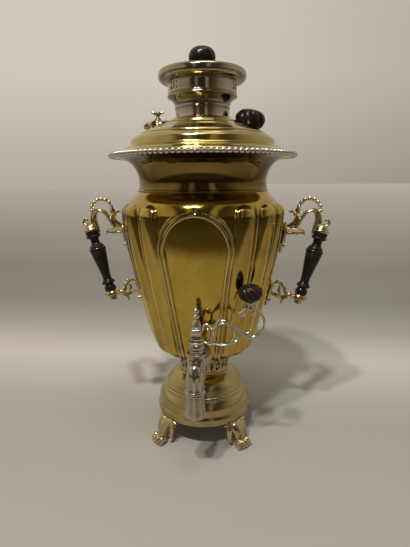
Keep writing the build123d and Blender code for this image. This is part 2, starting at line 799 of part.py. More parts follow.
lever_sweep = [
    (ring_middle + 9.5, ring_height + 11.5),
    (46.0, ring_height + 7.0),
    (53.0, ring_height + 1.5),
    (61.0, ring_height - 2.5),
    (70.0, ring_height + 0.5),
    (76.0, ring_height + 8.0),
    (76.5, ring_height + 18.0),
    (71.0, ring_height + 27.5),
    (lever_post_reach, ring_height + 31.5),
    (52.5, ring_height + 29.5),
    (46.5, ring_height + 24.0),
]
key += scroll(lever_sweep, 3.2, lever_thickness)
key += sawn([
    (ring_middle + 12.0, ring_height - 7.0),
    (ring_middle + 18.5, ring_height - 9.5, 0.2),
    (ring_middle + 14.5, ring_height - 1.0, 0.2),
], lever_thickness * 0.7)
post_base = ring_height + 31.0
post_top = ring_height + 40.0
knob_bore = 1.5
post = turned([
    (0, post_base),
    (4.0, post_base),
    (2.8, post_base + 4.0, -0.1),
    (5.0, post_top, -0.1),
    (0, post_top),
])
key += Pos(lever_post_reach, 0, 0) * post
key += Pos(lever_post_reach, 0, 0) * upright(knob_bore, tap_knob_height * 0.5, post_top)
key -= Pos(0, 0, (hub_bottom + hub_top) / 2) * Box(2 * stem_half, 2 * stem_half, hub_top - hub_bottom)
key -= upright(finial_radius + 0.4, 30, hub_top)
key -= upright(plug_collar_radius + 0.3, hub_bottom - barrel_top, barrel_top)
pieces["tap_key"] = at_plug * key
tap_knob = knob(tap_knob_radius, tap_knob_height, post_top, knob_bore)
pieces["tap_knob"] = at_plug * Pos(lever_post_reach, 0, 0) * tap_knob

# ---- handles, drawn on the +X side: brackets riveted to the vessel, a grip on a rod between ----
grip_place = Pos(grip_foot_reach, 0, grip_foot_height) * Rot(0, grip_tilt, 0)
nut_height = 5.0
eye_bottom, eye_top = nut_height + 1.0, nut_height + 7.5
grip_bottom = eye_top
grip_cap_radius = 10.2
grip_top = grip_bottom + grip_length
cap_height = 10.5
slim = grip_shoulder_radius * 0.5
grip = turned([
    (0, grip_bottom),
    (6.5, grip_bottom),
    (7.8, grip_bottom + 5.0, 0.15),
    (5.6, grip_bottom + 9.5, 0.15),
    (8.8, grip_bottom + 11.0, -0.1),
    (8.8, grip_bottom + 14.5, 0.2),
    (slim, grip_bottom + 17.5, -0.15),
    (slim, grip_bottom + 20.0),
    (grip_shoulder_radius, grip_top - 25.5, 0.02),
    (grip_shoulder_radius * 0.75, grip_top - 20.5, 0.25),
    (slim, grip_top - 17.0, -0.1),
    (slim, grip_top - 11.5, -0.05),
    (9.7, grip_top - 8.5, -0.15),
    (9.7, grip_top - 1.5, 0.12),
    (8.5, grip_top, 0.1),
    (0, grip_top),
])
grip = grip_place * (grip - upright(rod_radius + 0.2, 200))
rod = grip_place * upright(rod_radius, grip_top + cap_height - 3.0)
end_nut = upright(5.2, nut_height) + upright(7.0, 1.0, nut_height)
end_nut = grip_place * (end_nut - upright(rod_radius, 50))

cap_foot = grip_top
cap_x = grip_foot_reach + (cap_foot + cap_height / 2) * sin(radians(grip_tilt))
cap_z = grip_foot_height + (cap_foot + cap_height / 2) * cos(radians(grip_tilt))
arm_z = cap_z - 5.0
eye_x = grip_foot_reach + eye_bottom * sin(radians(grip_tilt))
eye_z = grip_foot_height + (eye_bottom + eye_top) / 2 * cos(radians(grip_tilt))
top_low, top_high = arm_z - 24.4, arm_z + 9.2
low_low, low_high = eye_z - 10.8, eye_z + 20.1
top_plate = sawn([
    (skin(top_low) - 14, top_low),
    (skin(top_low) + 4.5, top_low),
    (skin(top_high) + 4.5, top_high),
    (skin(top_high) - 14, top_high),
], 18.0) - lobes_outside
low_plate = sawn([
    (skin(low_low) - 14, low_low),
    (skin(low_low) + 4.0, low_low),
    (skin(low_high) + 4.0, low_high),
    (skin(low_high) - 14, low_high),
], 16.0) - lobes_outside

socket = turned([
    (0, cap_foot),
    (10.0, cap_foot),
    (10.4, cap_foot + 3.0, 0.15),
    (8.0, cap_foot + 7.0, -0.1),
    (4.0, cap_foot + cap_height, 0.2),
    (0, cap_foot + cap_height),
]) - upright(rod_radius, cap_foot + cap_height - 3.0)
top_gap = cap_x - skin(arm_z)


def on_top_bracket(out, up):
    """A point by its share of the gap from the vessel to the cap, and its height over the cap's middle."""
    return skin(arm_z) + out * top_gap, cap_z + up


top_bracket = top_plate + grip_place * socket
inner_scroll = [
    on_top_bracket(0.920, -3.0),
    on_top_bracket(0.881, 9.0),
    on_top_bracket(0.831, 17.0),
    on_top_bracket(0.712, 20.5),
    on_top_bracket(0.582, 16.0),
    on_top_bracket(0.483, 6.5),
    on_top_bracket(0.384, -1.0),
    on_top_bracket(0.244, -4.5),
]
top_bracket += scroll(inner_scroll, 5.0, bracket_thickness)
outer_scroll = [
    on_top_bracket(0.155, 18.0),
    on_top_bracket(0.334, 17.5),
    on_top_bracket(0.374, 10.0),
    on_top_bracket(0.314, 2.5),
    on_top_bracket(0.165, -3.0),
]
top_bracket += scroll(outer_scroll, 4.2, bracket_thickness)
top_bracket += sawn([
    on_top_bracket(0.060, -9.0),
    (*on_top_bracket(0.364, -10.0), 0.05),
    (*on_top_bracket(0.543, -7.0), -0.2),
    (*on_top_bracket(0.424, -1.0), 0.1),
    on_top_bracket(0.060, -1.0),
], bracket_thickness)
(arch_middle_x, arch_middle_z), arch_radius = on_top_bracket(0.662, 22.5), 0.264 * top_gap
bead_arch_points = [
    (arch_middle_x + arch_radius * cos(radians(a)), arch_middle_z + arch_radius * sin(radians(a)))
    for a in range(-32, 205, 20)
]
top_bracket += scroll(bead_arch_points, 3.0, bracket_thickness * 0.5)
bead_count = 8
for index in range(bead_count):
    a = radians(-8 + 200 * index / (bead_count - 1))
    spot = Pos(arch_middle_x + arch_radius * cos(a), 0, arch_middle_z + arch_radius * sin(a))
    top_bracket += spot * Sphere(3.1)
curl_depth = bracket_thickness + 1.0
top_bracket += Pos(cap_x + 4.5, 0, cap_z + 3.0) * Rot(90, 0, 0) * Cylinder(4.0, curl_depth)
top_bracket -= grip_place * upright(grip_cap_radius, grip_length, grip_bottom)
top_bracket -= grip_place * upright(rod_radius, cap_foot + cap_height - 3.0)

low_bracket = low_plate + grip_place * (upright(9.8, eye_top - eye_bottom, eye_bottom))
low_gap = eye_x - skin(eye_z)


def on_low_bracket(out, up, *bow):
    """A point by its share of the gap from the vessel to the eye, and its height over the eye's middle."""
    return (skin(eye_z) + out * low_gap, eye_z + up, *bow)


low_bracket += sawn([
    on_low_bracket(0.047, -4.0),
    on_low_bracket(0.534, -7.0, -0.1),
    on_low_bracket(0.814, -2.5, 0.1),
    on_low_bracket(0.814, 2.5),
    on_low_bracket(0.534, 5.0, 0.1),
    on_low_bracket(0.047, 6.0, -0.1),
], bracket_thickness)
ball_x, ball_z = on_low_bracket(0.697, 1.0)
low_bracket += Pos(ball_x, 0, ball_z) * Rot(90, 0, 0) * Cylinder(4.6, curl_depth)
low_scroll = [
    on_low_bracket(0.697, 1.0),
    on_low_bracket(0.569, 7.5),
    on_low_bracket(0.511, 14.0),
    on_low_bracket(0.406, 19.0),
    on_low_bracket(0.289, 19.5),
    on_low_bracket(0.208, 16.0),
]
low_bracket += scroll(low_scroll, 4.4, bracket_thickness)
low_bracket -= grip_place * upright(rod_radius, 60)

rivets = []
rivet_spread = 6.0
for height, plate_stand in ((top_low + 8.0, 4.5), (low_low + 7.0, 4.0)):
    face_x = skin(height) + plate_stand
    for y in (-rivet_spread, rivet_spread):
        shaft = sideways(rivet_radius, face_x - 26.0, face_x, y, height)
        inner_head = sideways(2.6, face_x - 26.0, face_x, y, height) & lobes_inside
        inner_head &= Pos(face_x - 10.0, y, height) * Box(9.0, 20, 20)
        shaft &= Pos(face_x - 6.0, y, height) * Box(16.0, 20, 20)
        outer_head = sideways(2.8, face_x - 3.0, face_x + 1.6, y, height)
        hole = sideways(rivet_radius, face_x - 30.0, face_x + 10.0, y, height)
        head_room = sideways(2.8, face_x - 3.0, face_x + 10.0, y, height)
        top_bracket -= hole + head_room
        low_bracket -= hole + head_room
        body_shell -= hole
        body_shell -= mirror(hole, Plane.YZ)
        rivets.append((shaft + inner_head + outer_head).solids().sort_by(SortBy.VOLUME)[-1])

for side in ("right", "left"):
    def placed(shape):
        """A handle piece on its side of the samovar."""
        return shape if side == "right" else mirror(shape, Plane.YZ)

    pieces[side + "_top_bracket"] = placed(top_bracket)
    pieces[side + "_low_bracket"] = placed(low_bracket)
    pieces[side + "_grip"] = placed(grip)
    pieces[side + "_grip_rod"] = placed(rod)
    pieces[side + "_grip_nut"] = placed(end_nut)
    pieces[side + "_rivets"] = Compound(children=[placed(rivet) for rivet in rivets])

pieces["body_shell"] = body_shell

os.makedirs("parts", exist_ok=True)
for name, piece in pieces.items():
    export_step(piece, f"parts/{name}.step")
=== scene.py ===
import math

import bmesh
import bpy
import numpy as np
from mathutils import Matrix, Vector


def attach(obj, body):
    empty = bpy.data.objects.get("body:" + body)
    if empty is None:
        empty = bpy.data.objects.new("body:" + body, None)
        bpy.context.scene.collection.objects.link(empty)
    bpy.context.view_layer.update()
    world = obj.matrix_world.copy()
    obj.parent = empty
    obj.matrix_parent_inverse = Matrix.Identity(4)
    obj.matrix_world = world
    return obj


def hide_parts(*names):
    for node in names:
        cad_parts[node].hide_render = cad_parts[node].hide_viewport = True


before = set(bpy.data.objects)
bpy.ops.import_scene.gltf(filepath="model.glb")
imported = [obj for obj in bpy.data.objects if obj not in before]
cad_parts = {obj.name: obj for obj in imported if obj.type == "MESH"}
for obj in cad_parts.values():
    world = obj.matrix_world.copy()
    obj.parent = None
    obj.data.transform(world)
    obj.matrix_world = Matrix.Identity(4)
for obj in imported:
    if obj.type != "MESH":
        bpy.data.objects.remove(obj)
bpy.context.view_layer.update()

# ---- Pedestal: a bell spun from sheet brass, once silvered, with a rolled foot rim, a swelling
# band and turned grooves below its dome. Its flange is turned in under the rim and the four feet
# are screwed to it from below.


def fair(points, steps=6):
    """A smooth run through points: Catmull-Rom spans (2 b + (c - a) t + (2 a - 5 b + 4 c - d) t^2
    + (3 b - a - 3 c + d) t^3) / 2 between b and c, each cut in steps."""
    p = np.asarray(points, float)
    p = np.vstack([2 * p[0] - p[1], p, 2 * p[-1] - p[-2]])
    t = np.linspace(0, 1, steps, endpoint=False)[:, None, None]
    a, b, c, d = p[:-3], p[1:-2], p[2:-1], p[3:]
    square, cube = 2 * a - 5 * b + 4 * c - d, 3 * b - a - 3 * c + d
    spans = 0.5 * (2 * b + (c - a) * t + square * t**2 + cube * t**3)
    return np.vstack([spans.transpose(1, 0, 2).reshape(-1, p.shape[1]), p[-2]])


def outline(*runs, steps=6):
    """Smooth runs of points joined by corners: each run goes on from the last point of the run before
    it, and one that joins just two points is a straight line."""
    lines = [runs[0]] + [[before[-1], *run] for before, run in zip(runs, runs[1:])]
    return np.vstack([np.asarray(line, float) if len(line) < 3 else fair(line, steps) for line in lines])


def grid(rows, loop=False):
    """Quads over a grid of points whose last column meets the first; loop joins the last row too."""
    n, m = rows.shape[:2]
    i = np.arange(n if loop else n - 1)[:, None]
    j = np.arange(m)[None, :]
    below, beside = (i + 1) % n, (j + 1) % m
    quads = np.stack([i * m + j, i * m + beside, below * m + beside, below * m + j], -1)
    return rows.reshape(-1, 3), quads.reshape(-1, 4)


def lathe(profile, sides=160, loop=True):
    """A profile of (radius, height) turned round an upright axis: x = r sin a, y = -r cos a."""
    a = np.arange(sides) * 2 * math.pi / sides
    r, z = profile[:, :1], profile[:, 1:]
    rows = np.stack([r * np.sin(a), -r * np.cos(a), z + 0 * a], -1)
    return grid(rows, loop=loop)


def moved(part, place):
    """A part carried by a 4 x 4 placement."""
    points, quads = part
    return points @ place[:3, :3].T + place[:3, 3], quads


def at(x=0.0, y=0.0, z=0.0, turn=0.0, tilt=0.0):
    """A placement: tilt about Y, then turn about Z, then the move. Angles are in degrees."""
    c, s = math.cos(math.radians(turn)), math.sin(math.radians(turn))
    ct, st = math.cos(math.radians(tilt)), math.sin(math.radians(tilt))
    place = np.eye(4)
    spin, lean = np.array([[c, -s, 0], [s, c, 0], [0, 0, 1]]), np.array([[ct, 0, st], [0, 1, 0], [-st, 0,
        ct]])
    place[:3, :3] = spin @ lean
    place[:3, 3] = x, y, z
    return place


def hollows(mesh):
    """How far each point lies below (+) or above (-) the mean of its neighbours, along its normal."""
    count = len(mesh.vertices)
    points, normals = np.empty(count * 3, "f"), np.empty(count * 3, "f")
    mesh.vertices.foreach_get("co", points)
    mesh.vertex_normals.foreach_get("vector", normals)
    points, normals = points.reshape(-1, 3), normals.reshape(-1, 3)
    edges = np.empty(len(mesh.edges) * 2, "i")
    mesh.edges.foreach_get("vertices", edges)
    a, b = edges.reshape(-1, 2).T
    reach = points[b] - points[a]
    length = np.linalg.norm(reach, axis=1) + 1e-9
    bend, links = np.zeros(count), np.zeros(count)
    for start, end, sign in ((a, b, 1), (b, a, -1)):
        np.add.at(bend, start, sign * (reach * normals[start]).sum(1) / length)
        np.add.at(links, start, 1)
    bend /= np.maximum(links, 1)
    for _ in range(2):
        spread = np.zeros(count)
        np.add.at(spread, a, bend[b])
        np.add.at(spread, b, bend[a])
        bend = 0.5 * bend + 0.5 * spread / np.maximum(links, 1)
    return bend


def make_piece(name, parts, material, body, nodes=(), crease=32):
    """One object from parts in millimetres: doubles merged, faces outwards, smooth up to a crease."""
    millimetre, same_place, contrast = 0.001, 2e-6, 3.0
    starts = np.cumsum([0] + [len(points) for points, _ in parts])
    points = np.vstack([p for p, _ in parts]) * millimetre
    quads = np.vstack([q + s for (_, q), s in zip(parts, starts)])
    mesh = bpy.data.meshes.new(name)
    mesh.from_pydata(points.tolist(), [], quads.tolist())
    shape = bmesh.new()
    shape.from_mesh(mesh)
    bmesh.ops.remove_doubles(shape, verts=shape.verts, dist=same_place)
    bmesh.ops.recalc_face_normals(shape, faces=shape.faces)
    shape.to_mesh(mesh)
    shape.free()
    mesh.shade_smooth()
    mesh.set_sharp_from_angle(angle=math.radians(crease))
    bend = hollows(mesh)
    for label, value in (("hollow", bend), ("ridge", -bend)):
        mark = mesh.attributes.new(label, "FLOAT", "POINT")
        mark.data.foreach_set("value", np.clip(value * contrast, 0, 1).astype("f"))
    mesh.materials.append(material)
    piece = bpy.data.objects.new(name, mesh)
    bpy.context.scene.collection.objects.link(piece)
    if nodes:
        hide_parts(*nodes)
    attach(piece, body)
    return piece


def node_maker(tree):
    """A short way to add nodes: returns a function that adds one, sets it up and links its inputs."""
    def add(kind, links=(), **values):
        node = tree.nodes.new(kind)
        for key, value in values.items():
            setattr(node, key, value)
        for socket, value in dict(links).items():
            if isinstance(value, bpy.types.NodeSocket):
                tree.links.new(value, node.inputs[socket])
            else:
                node.inputs[socket].default_value = value
        return node
    return add


def blend(add, factor, first, second):
    """A mix of two colours: the first where the factor is 0, the second where it is 1."""
    return add("ShaderNodeMix", {"Factor": factor, 6: first, 7: second}, data_type="RGBA").outputs[2]


def calc(add, operation, first, second, clamp=False):
    """The result of one sum, product or comparison of two values."""
    return add("ShaderNodeMath", {0: first, 1: second}, operation=operation, use_clamp=clamp).outputs[0]


def span(add, value, low, high, start=0.0, end=1.0):
    """A value carried from the range low to high into the range start to end, and held at its ends."""
    return add("ShaderNodeMapRange", {"Value": value, "From Min": low, "From Max": high, "To Min": start,
                                      "To Max": end}).outputs[0]


def group(name, inputs, outputs):
    """An empty shader group with named sockets; returns its tree, its inputs and its output node."""
    tree = bpy.data.node_groups.new(name, "ShaderNodeTree")
    for label, kind, value in inputs:
        socket = tree.interface.new_socket(label, in_out="INPUT", socket_type=kind)
        socket.default_value = value
    for label, kind in outputs:
        tree.interface.new_socket(label, in_out="OUTPUT", socket_type=kind)
    entry = tree.nodes.new("NodeGroupInput")
    return tree, entry.outputs, tree.nodes.new("NodeGroupOutput")


COLOUR, NUMBER = "NodeSocketColor", "NodeSocketFloat"

# Aged metal with painted light: cloudy tarnish, hollows darkened by dirt and painted shade, ridges
# lightened by wear and a painted highlight, fine wiping marks and soft dents.
aged, given, result = group(
    "aged_metal_and_painted_light",
    [("Clean", COLOUR, (0.8, 0.6, 0.3, 1)), ("Tarnish", COLOUR, (0.3, 0.2, 0.08, 1)),
     ("Dirt_and_Shade", COLOUR, (0.05, 0.035, 0.02, 1)), ("Bright", COLOUR, (0.9, 0.75, 0.5, 1)),
     ("Spread", NUMBER, 18.0), ("Amount", NUMBER, 0.5), ("Polish", NUMBER, 0.12), ("Dull", NUMBER, 0.35),
     ("Grime_and_Shade", NUMBER, 1.0), ("Wear_and_Highlight", NUMBER, 0.5)],
    [("Colour", COLOUR), ("Roughness", NUMBER), ("Height", NUMBER)])
add = node_maker(aged)
where = add("ShaderNodeTexCoord").outputs["Object"]
cloud = add("ShaderNodeTexNoise", {"Vector": where, "Scale": given["Spread"], "Detail": 6.0,
                                   "Roughness": 0.62, "Distortion": 0.6})
patches = span(add, cloud.outputs["Fac"], 0.42, 0.72)
fine = add("ShaderNodeTexNoise", {"Vector": where, "Scale": 220.0, "Detail": 4.0, "Roughness": 0.6})
specks = span(add, fine.outputs["Fac"], 0.60, 0.75, 0.0, 0.35)
cover = calc(add, "MULTIPLY", calc(add, "ADD", patches, specks), given["Amount"], clamp=True)
tarnished = blend(add, cover, given["Clean"], given["Tarnish"])
# Painted shade, with dirt: the deeper a point lies in a hollow, the more its colour turns to the dark dirt
# tone and the rougher it gets.
hollow = add("ShaderNodeAttribute", attribute_name="hollow")
deep = calc(add, "MULTIPLY", hollow.outputs["Fac"], given["Grime_and_Shade"], clamp=True)
with_dirt_and_shade = blend(add, deep, tarnished, given["Dirt_and_Shade"])
# Painted highlight, with wear: the more a point stands out on a ridge, the more its colour turns to the
# bright worn tone.
ridge = add("ShaderNodeAttribute", attribute_name="ridge")
worn_and_highlight_mask = calc(add, "MULTIPLY", ridge.outputs["Fac"], given["Wear_and_Highlight"], clamp=True)
aged.links.new(blend(add, worn_and_highlight_mask, with_dirt_and_shade, given["Bright"]), result.inputs["Colour"])
rough = span(add, calc(add, "ADD", cover, deep, clamp=True), 0.0, 1.0, given["Polish"], given["Dull"])
aged.links.new(rough, result.inputs["Roughness"])
dents = add("ShaderNodeTexNoise", {"Vector": where, "Scale": 34.0, "Detail": 2.0})
wiped = add("ShaderNodeTexNoise", {"Vector": where, "Scale": 900.0, "Detail": 3.0})
height = add("ShaderNodeMath", {0: wiped.outputs["Fac"], 1: 0.06, 2: dents.outputs["Fac"]},
             operation="MULTIPLY_ADD")
aged.links.new(height.outputs[0], result.inputs["Height"])


def metal(name, clean, tarnish, worn_and_highlight_colour, spread=18.0, amount=0.5, polish=0.12, dull=0.35, grime_and_shade=1.0,
          wear_and_highlight=0.5, dents=0.25):
    """A metal material: the aged metal effect, with painted shade in its hollows and painted highlights on
    its ridges, on a fully metallic surface.
    """
    material = bpy.data.materials.new(name)
    material.use_nodes = True
    tree = material.node_tree
    tree.nodes.clear()
    add = node_maker(tree)
    effect = add("ShaderNodeGroup", node_tree=aged)
    # The dark tone of the hollows is a darkened tarnish, standing for both dirt and painted shade.
    dirt_and_shade_colour = [0.22 * c for c in tarnish]
    for label, value in (("Clean", clean), ("Tarnish", tarnish), ("Bright", worn_and_highlight_colour), ("Dirt_and_Shade", dirt_and_shade_colour)):
        effect.inputs[label].default_value = (*value, 1)
    for label, value in (("Spread", spread), ("Amount", amount), ("Polish", polish), ("Dull", dull),
                         ("Grime_and_Shade", grime_and_shade), ("Wear_and_Highlight", wear_and_highlight)):
        effect.inputs[label].default_value = value
    bump = add("ShaderNodeBump", {"Height": effect.outputs["Height"], "Strength": dents,
                                  "Distance": 0.0012})
    shader = add("ShaderNodeBsdfPrincipled", {
        "Base Color": effect.outputs["Colour"], "Roughness": effect.outputs["Roughness"], "Metallic": 1.0,
        "Normal": bump.outputs["Normal"]})
    add("ShaderNodeOutputMaterial", {"Surface": shader.outputs[0]})
    return material


silvered_brass = metal("silvered_brass", (0.45, 0.36, 0.16), (0.22, 0.15, 0.05), (0.84, 0.76, 0.56),
                       spread=26, amount=0.55, polish=0.13, dull=0.30, dents=0.2)
bell = outline(
    [(48, 31), (63.8, 31)],
    [(64.8, 31.8), (65, 34.5), (64.9, 38.0), (64.6, 39.8), (63.8, 41.2)],
    [(63.0, 42.6), (62.7, 43.8), (62.9, 45.2)],
    [(62.9, 49), (62.2, 53), (60.7, 57), (58.8, 60.3), (57.4, 62.0)],
    [(56.7, 62.5), (56.3, 63.4), (56.4, 64.1)], [(55.9, 65.6), (55.0, 66.4)],
    [(54.3, 66.9), (53.8, 68.0), (53.9, 68.8)], [(53.4, 70.0), (52.4, 70.7)],
    [(51.9, 71.2), (51.5, 72.0), (51.5, 72.6)], [(51.0, 73.3), (50.3, 73.6)],
    [(47.6, 77.0), (43.4, 81.0), (39.2, 83.9), (35.8, 85.8), (34.0, 86.9), (33.4, 88)],
    [(29.5, 88)], [(29.5, 84)],
    [(38, 80.5), (45, 75.5), (51, 66.5), (57.5, 57.5), (61.0, 47.5), (61.8, 32.8)],
    [(48, 32.8)])
make_piece("pedestal_bell", [lathe(bell, 192)], silvered_brass, "vessel", ["pedestal"])

# ---- Feet: four cast lion's paws. Each has a cabriole leg, four knuckled toes on the ground, a lug
# under the pedestal's flange, and acanthus leaves that spread along the rim on both sides.


def limb(rows, across, sides=14, steps=5, ridges=0, depth=0.0):
    """A bar along a smooth line, from rows of (x, y, z, wide, deep): path + wide cos a (way x across)
    + deep sin a (square to both), rippled by 1 + depth cos(ridges a), its ends closed to points."""
    line = fair(rows, steps)
    path, wide, deep = line[:, :3], np.maximum(line[:, 3:4], 0.05), np.maximum(line[:, 4:5], 0.05)
    way = np.gradient(path, axis=0)
    side = np.cross(way, across)
    side /= np.linalg.norm(side, axis=1, keepdims=True)
    rise = np.cross(side, way / np.linalg.norm(way, axis=1, keepdims=True))
    a = np.arange(sides) * 2 * math.pi / sides
    swell = 1 + depth * np.cos(ridges * a)
    rows = (path[:, None] + (wide * np.cos(a) * swell)[..., None] * side[:, None]
            + (deep * np.sin(a) * swell)[..., None] * rise[:, None])
    ends = [np.repeat(path[k:k + 1 or None, None], sides, 1) for k in (0, -1)]
    return grid(np.concatenate([ends[0], rows, ends[1]]))


def ball(centre, radii, sides=14, rings=9):
    """An ellipsoid: x, y = r sin t (cos a, sin a), z = r cos t."""
    t = np.linspace(0, math.pi, rings)[:, None]
    a = np.arange(sides) * 2 * math.pi / sides
    rows = np.stack([np.sin(t) * np.cos(a), np.sin(t) * np.sin(a), np.cos(t) + 0 * a], -1)
    points, quads = grid(rows * np.asarray(radii))
    return points + np.asarray(centre), quads


rim_circle, flange_foot = 66.0, 31
leg = limb([(0, -58, 28.5, 10.0, 3.4), (0, -64.5, 26.5, 10.0, 5.0), (0, -69.5, 21.5, 8.2, 5.6),
            (0, -72.5, 15.5, 6.8, 5.2), (0, -75, 10.5, 7.0, 5.0), (0, -78.5, 6.5, 8.8, 5.2)],
           (0, 0.0001, 1), 20, 6, 5, 0.06)
foot = [leg, ball((0, -76.5, 5.6), (9.8, 8.0, 5.4), 20, 11)]
for v in (-1.5, -0.5, 0.5, 1.5):
    reach = 83.0 - 1.3 * abs(v)
    foot.append(limb(
        [(v * 4.0, -74.0, 7.5, 2.6, 3.0), (v * 4.6, -78.5, 8.3, 3.0, 3.6),
         (v * 5.2, -reach + 1.0, 6.4, 3.2, 4.0), (v * 5.5, -reach - 2.0, 3.0, 2.4, 2.7)], (0, 0, 1), 12, 5))
    foot.append(limb([(v * 5.5, -reach - 0.8, 2.6, 1.2, 1.2), (v * 5.6, -reach - 2.6, 1.6, 0.9, 0.9),
                      (v * 5.7, -reach - 3.0, 0.4, 0.3, 0.3)], (0, 0, 1), 8, 3))
for hand in (-1, 1):
    tips = [((4, 30.3), (10, 30.6), (15, 29.4), (19, 29.8)),
            ((4, 28.5), (9, 28), (13.5, 25.2), (17.0, 24.4)),
            ((3, 27), (7, 25.5), (10.5, 21.8), (12.6, 19.2)),
            ((2, 25.5), (4.5, 23), (6.5, 19.5), (7.6, 16.8))]
    for line in tips:
        swell = ((1.6, 1.7), (2.3, 1.9), (1.9, 1.5), (0.4, 0.6))
        rows = [(hand * s, -math.sqrt(rim_circle**2 - s**2) - 0.03 * (flange_foot - z), z, *size)
                for (s, z), size in zip(line, swell)]
        foot.append(limb(rows, (0, 1, 0), 10, 5, 3, 0.12))
    side_leaf = [(hand * 7.0, -64.5, 29.0, 4.2, 2.2), (hand * 11.0, -66.5, 23.5, 4.6, 2.6),
                 (hand * 12.8, -68.0, 17.0, 3.6, 2.2), (hand * 13.2, -69.5, 11.5, 2.6, 1.8),
                 (hand * 11.8, -71.0, 7.5, 0.5, 0.6)]
    foot.append(limb(side_leaf, (0, 1, 0), 14, 5, 4, 0.14))
lug_half, lug_root, lug_middle, lug_foot = 9.0, -64.0, -58.0, 26
lug = outline([(-lug_half, 0), (lug_half, 0)], [(lug_half, 12), (0, 17), (-lug_half, 12), (-lug_half, 0)])
plate = np.stack([np.stack([lug[:, 0], lug[:, 1] + lug_root, 0 * lug[:, 0] + z], -1) * [k, 1, 1]
                  for k, z in ((0.0, lug_foot), (1.0, lug_foot), (1.0, flange_foot), (0.0, flange_foot))])
plate[0, :, 1] = plate[3, :, 1] = lug_middle
foot.append(grid(plate))
for points, _ in foot:
    points[:, 2] = np.maximum(points[:, 2], 0.0)
foot_angles = {"foot_front_right": 45, "foot_back_right": 135, "foot_back_left": 225,
               "foot_front_left": 315}
cast_brass = metal("cast_brass", (0.46, 0.36, 0.16), (0.20, 0.135, 0.045), (0.84, 0.74, 0.50),
                   spread=60, amount=0.5, polish=0.16, dull=0.42, grime_and_shade=1.3, wear_and_highlight=0.9, dents=0.35)
for name, angle in foot_angles.items():
    make_piece("paw_" + name, [moved(part, at(turn=angle)) for part in foot], cast_brass,
               "vessel", [name])

# ---- Foot fixings: a pan-headed steel screw goes up through each foot's lug and the flange, and a
# hexagonal nut holds it inside the bell.


def dress(material, *nodes):
    """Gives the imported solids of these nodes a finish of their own."""
    for node in nodes:
        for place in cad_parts[node].material_slots:
            place.material = material


plain_steel = metal("plain_steel", (0.50, 0.48, 0.45), (0.24, 0.18, 0.13), (0.7, 0.68, 0.64),
                    spread=90, amount=0.6, polish=0.24, dull=0.5, dents=0.3)
dress(plain_steel, "foot_screws", "foot_nuts")

# ---- Gallery: the ring that carries the vessel, cast and pierced all round with ovals on a bridge
# and pointed slots in turn, so that air reaches the fire. A bead and a lip finish its two edges.
gallery_foot, gallery_top = 88.0, 110.0
wall_foot, wall_top = 92.3, 107.2


def pierced(radius, levels, columns, is_open, wall):
    """A round wall with holes: a fine grid of cells at (radius(z), angle), cells where is_open holds
    left out, and short faces from the outer to the inner skin wherever a kept cell ends."""
    a = np.arange(columns) * 2 * math.pi / columns
    r = radius(levels)[:, None]
    skins = [np.stack([q * np.sin(a), -q * np.cos(a), levels[:, None] + 0 * a], -1) for q in (r, r - wall)]
    middle = 0.5 * (levels[1:] + levels[:-1])[:, None]
    kept = ~is_open(np.degrees(a + math.pi / columns)[None], middle, radius(middle))
    index = np.arange(len(levels) * columns).reshape(len(levels), columns)
    inner, beside = index + index.size, np.roll(index, -1, 1)
    i, j = np.nonzero(kept)
    quads = [np.stack([index[i, j], beside[i, j], beside[i + 1, j], index[i + 1, j]], -1)]
    quads.append(quads[0][:, ::-1] + index.size)
    i, j = np.nonzero(kept != np.roll(kept, 1, 1))
    quads.append(np.stack([index[i, j], index[i + 1, j], inner[i + 1, j], inner[i, j]], -1))
    padded = np.vstack([0 * kept[:1], kept, 0 * kept[:1]]).astype(bool)
    i, j = np.nonzero(padded[1:] != padded[:-1])
    quads.append(np.stack([index[i, j], beside[i, j], beside[i, j] + index.size, inner[i, j]], -1))
    return np.concatenate([s.reshape(-1, 3) for s in skins]), np.vstack(quads)


def gallery_holes(angle, z, r):
    """Twelve bridged ovals and twelve slots with a point on each side, fifteen degrees apart."""
    pitch, middle = 15.0, 99.8
    oval_wide, oval_tall, bridge_wide, bridge_tall, web = 3.2, 6.3, 1.2, 3.0, 0.5
    slot_wide, slot_tall, point, slant = 1.2, 5.9, 1.5, 0.7
    number = np.round(angle / pitch - 0.5)
    s = np.radians(angle - (number + 0.5) * pitch) * r
    t = z - middle
    bridge = (np.hypot(s / bridge_wide, t / bridge_tall) <= 1) | (np.abs(t) <= web)
    oval = (np.hypot(s / oval_wide, t / oval_tall) < 1) & ~bridge
    slot = (np.abs(t) < slot_tall) & (np.abs(s) < slot_wide + np.clip(point - slant * np.abs(t), 0, 2))
    return np.where(number % 2 == 0, oval, slot)


def gallery_radius(z):
    """The gallery flares upwards from its bead: 32.9 + 0.13 t + 0.0085 t^2, where t is the rise."""
    t = z - 92
    return 32.9 + 0.13 * t + 0.0085 * t**2


gallery_wall = pierced(gallery_radius, np.linspace(wall_foot, wall_top, 46), 720, gallery_holes, 1.8)
gallery_bead = outline([(30.2, gallery_foot), (32.4, gallery_foot)],
                       [(33.6, 89.3), (33.8, 90.8), (33.4, 92.2), (33.0, 92.7)],
                       [(30.2, 92.7)])
gallery_lip = outline([(33.6, 107.0), (36.2, 107.0)], [(37.0, 107.8), (37.4, 108.9), (37.2, gallery_top)],
                      [(33.6, gallery_top)])
make_piece("gallery", [gallery_wall, lathe(gallery_bead, 144), lathe(gallery_lip, 144)], cast_brass,
           "vessel", ["gallery_ring"])

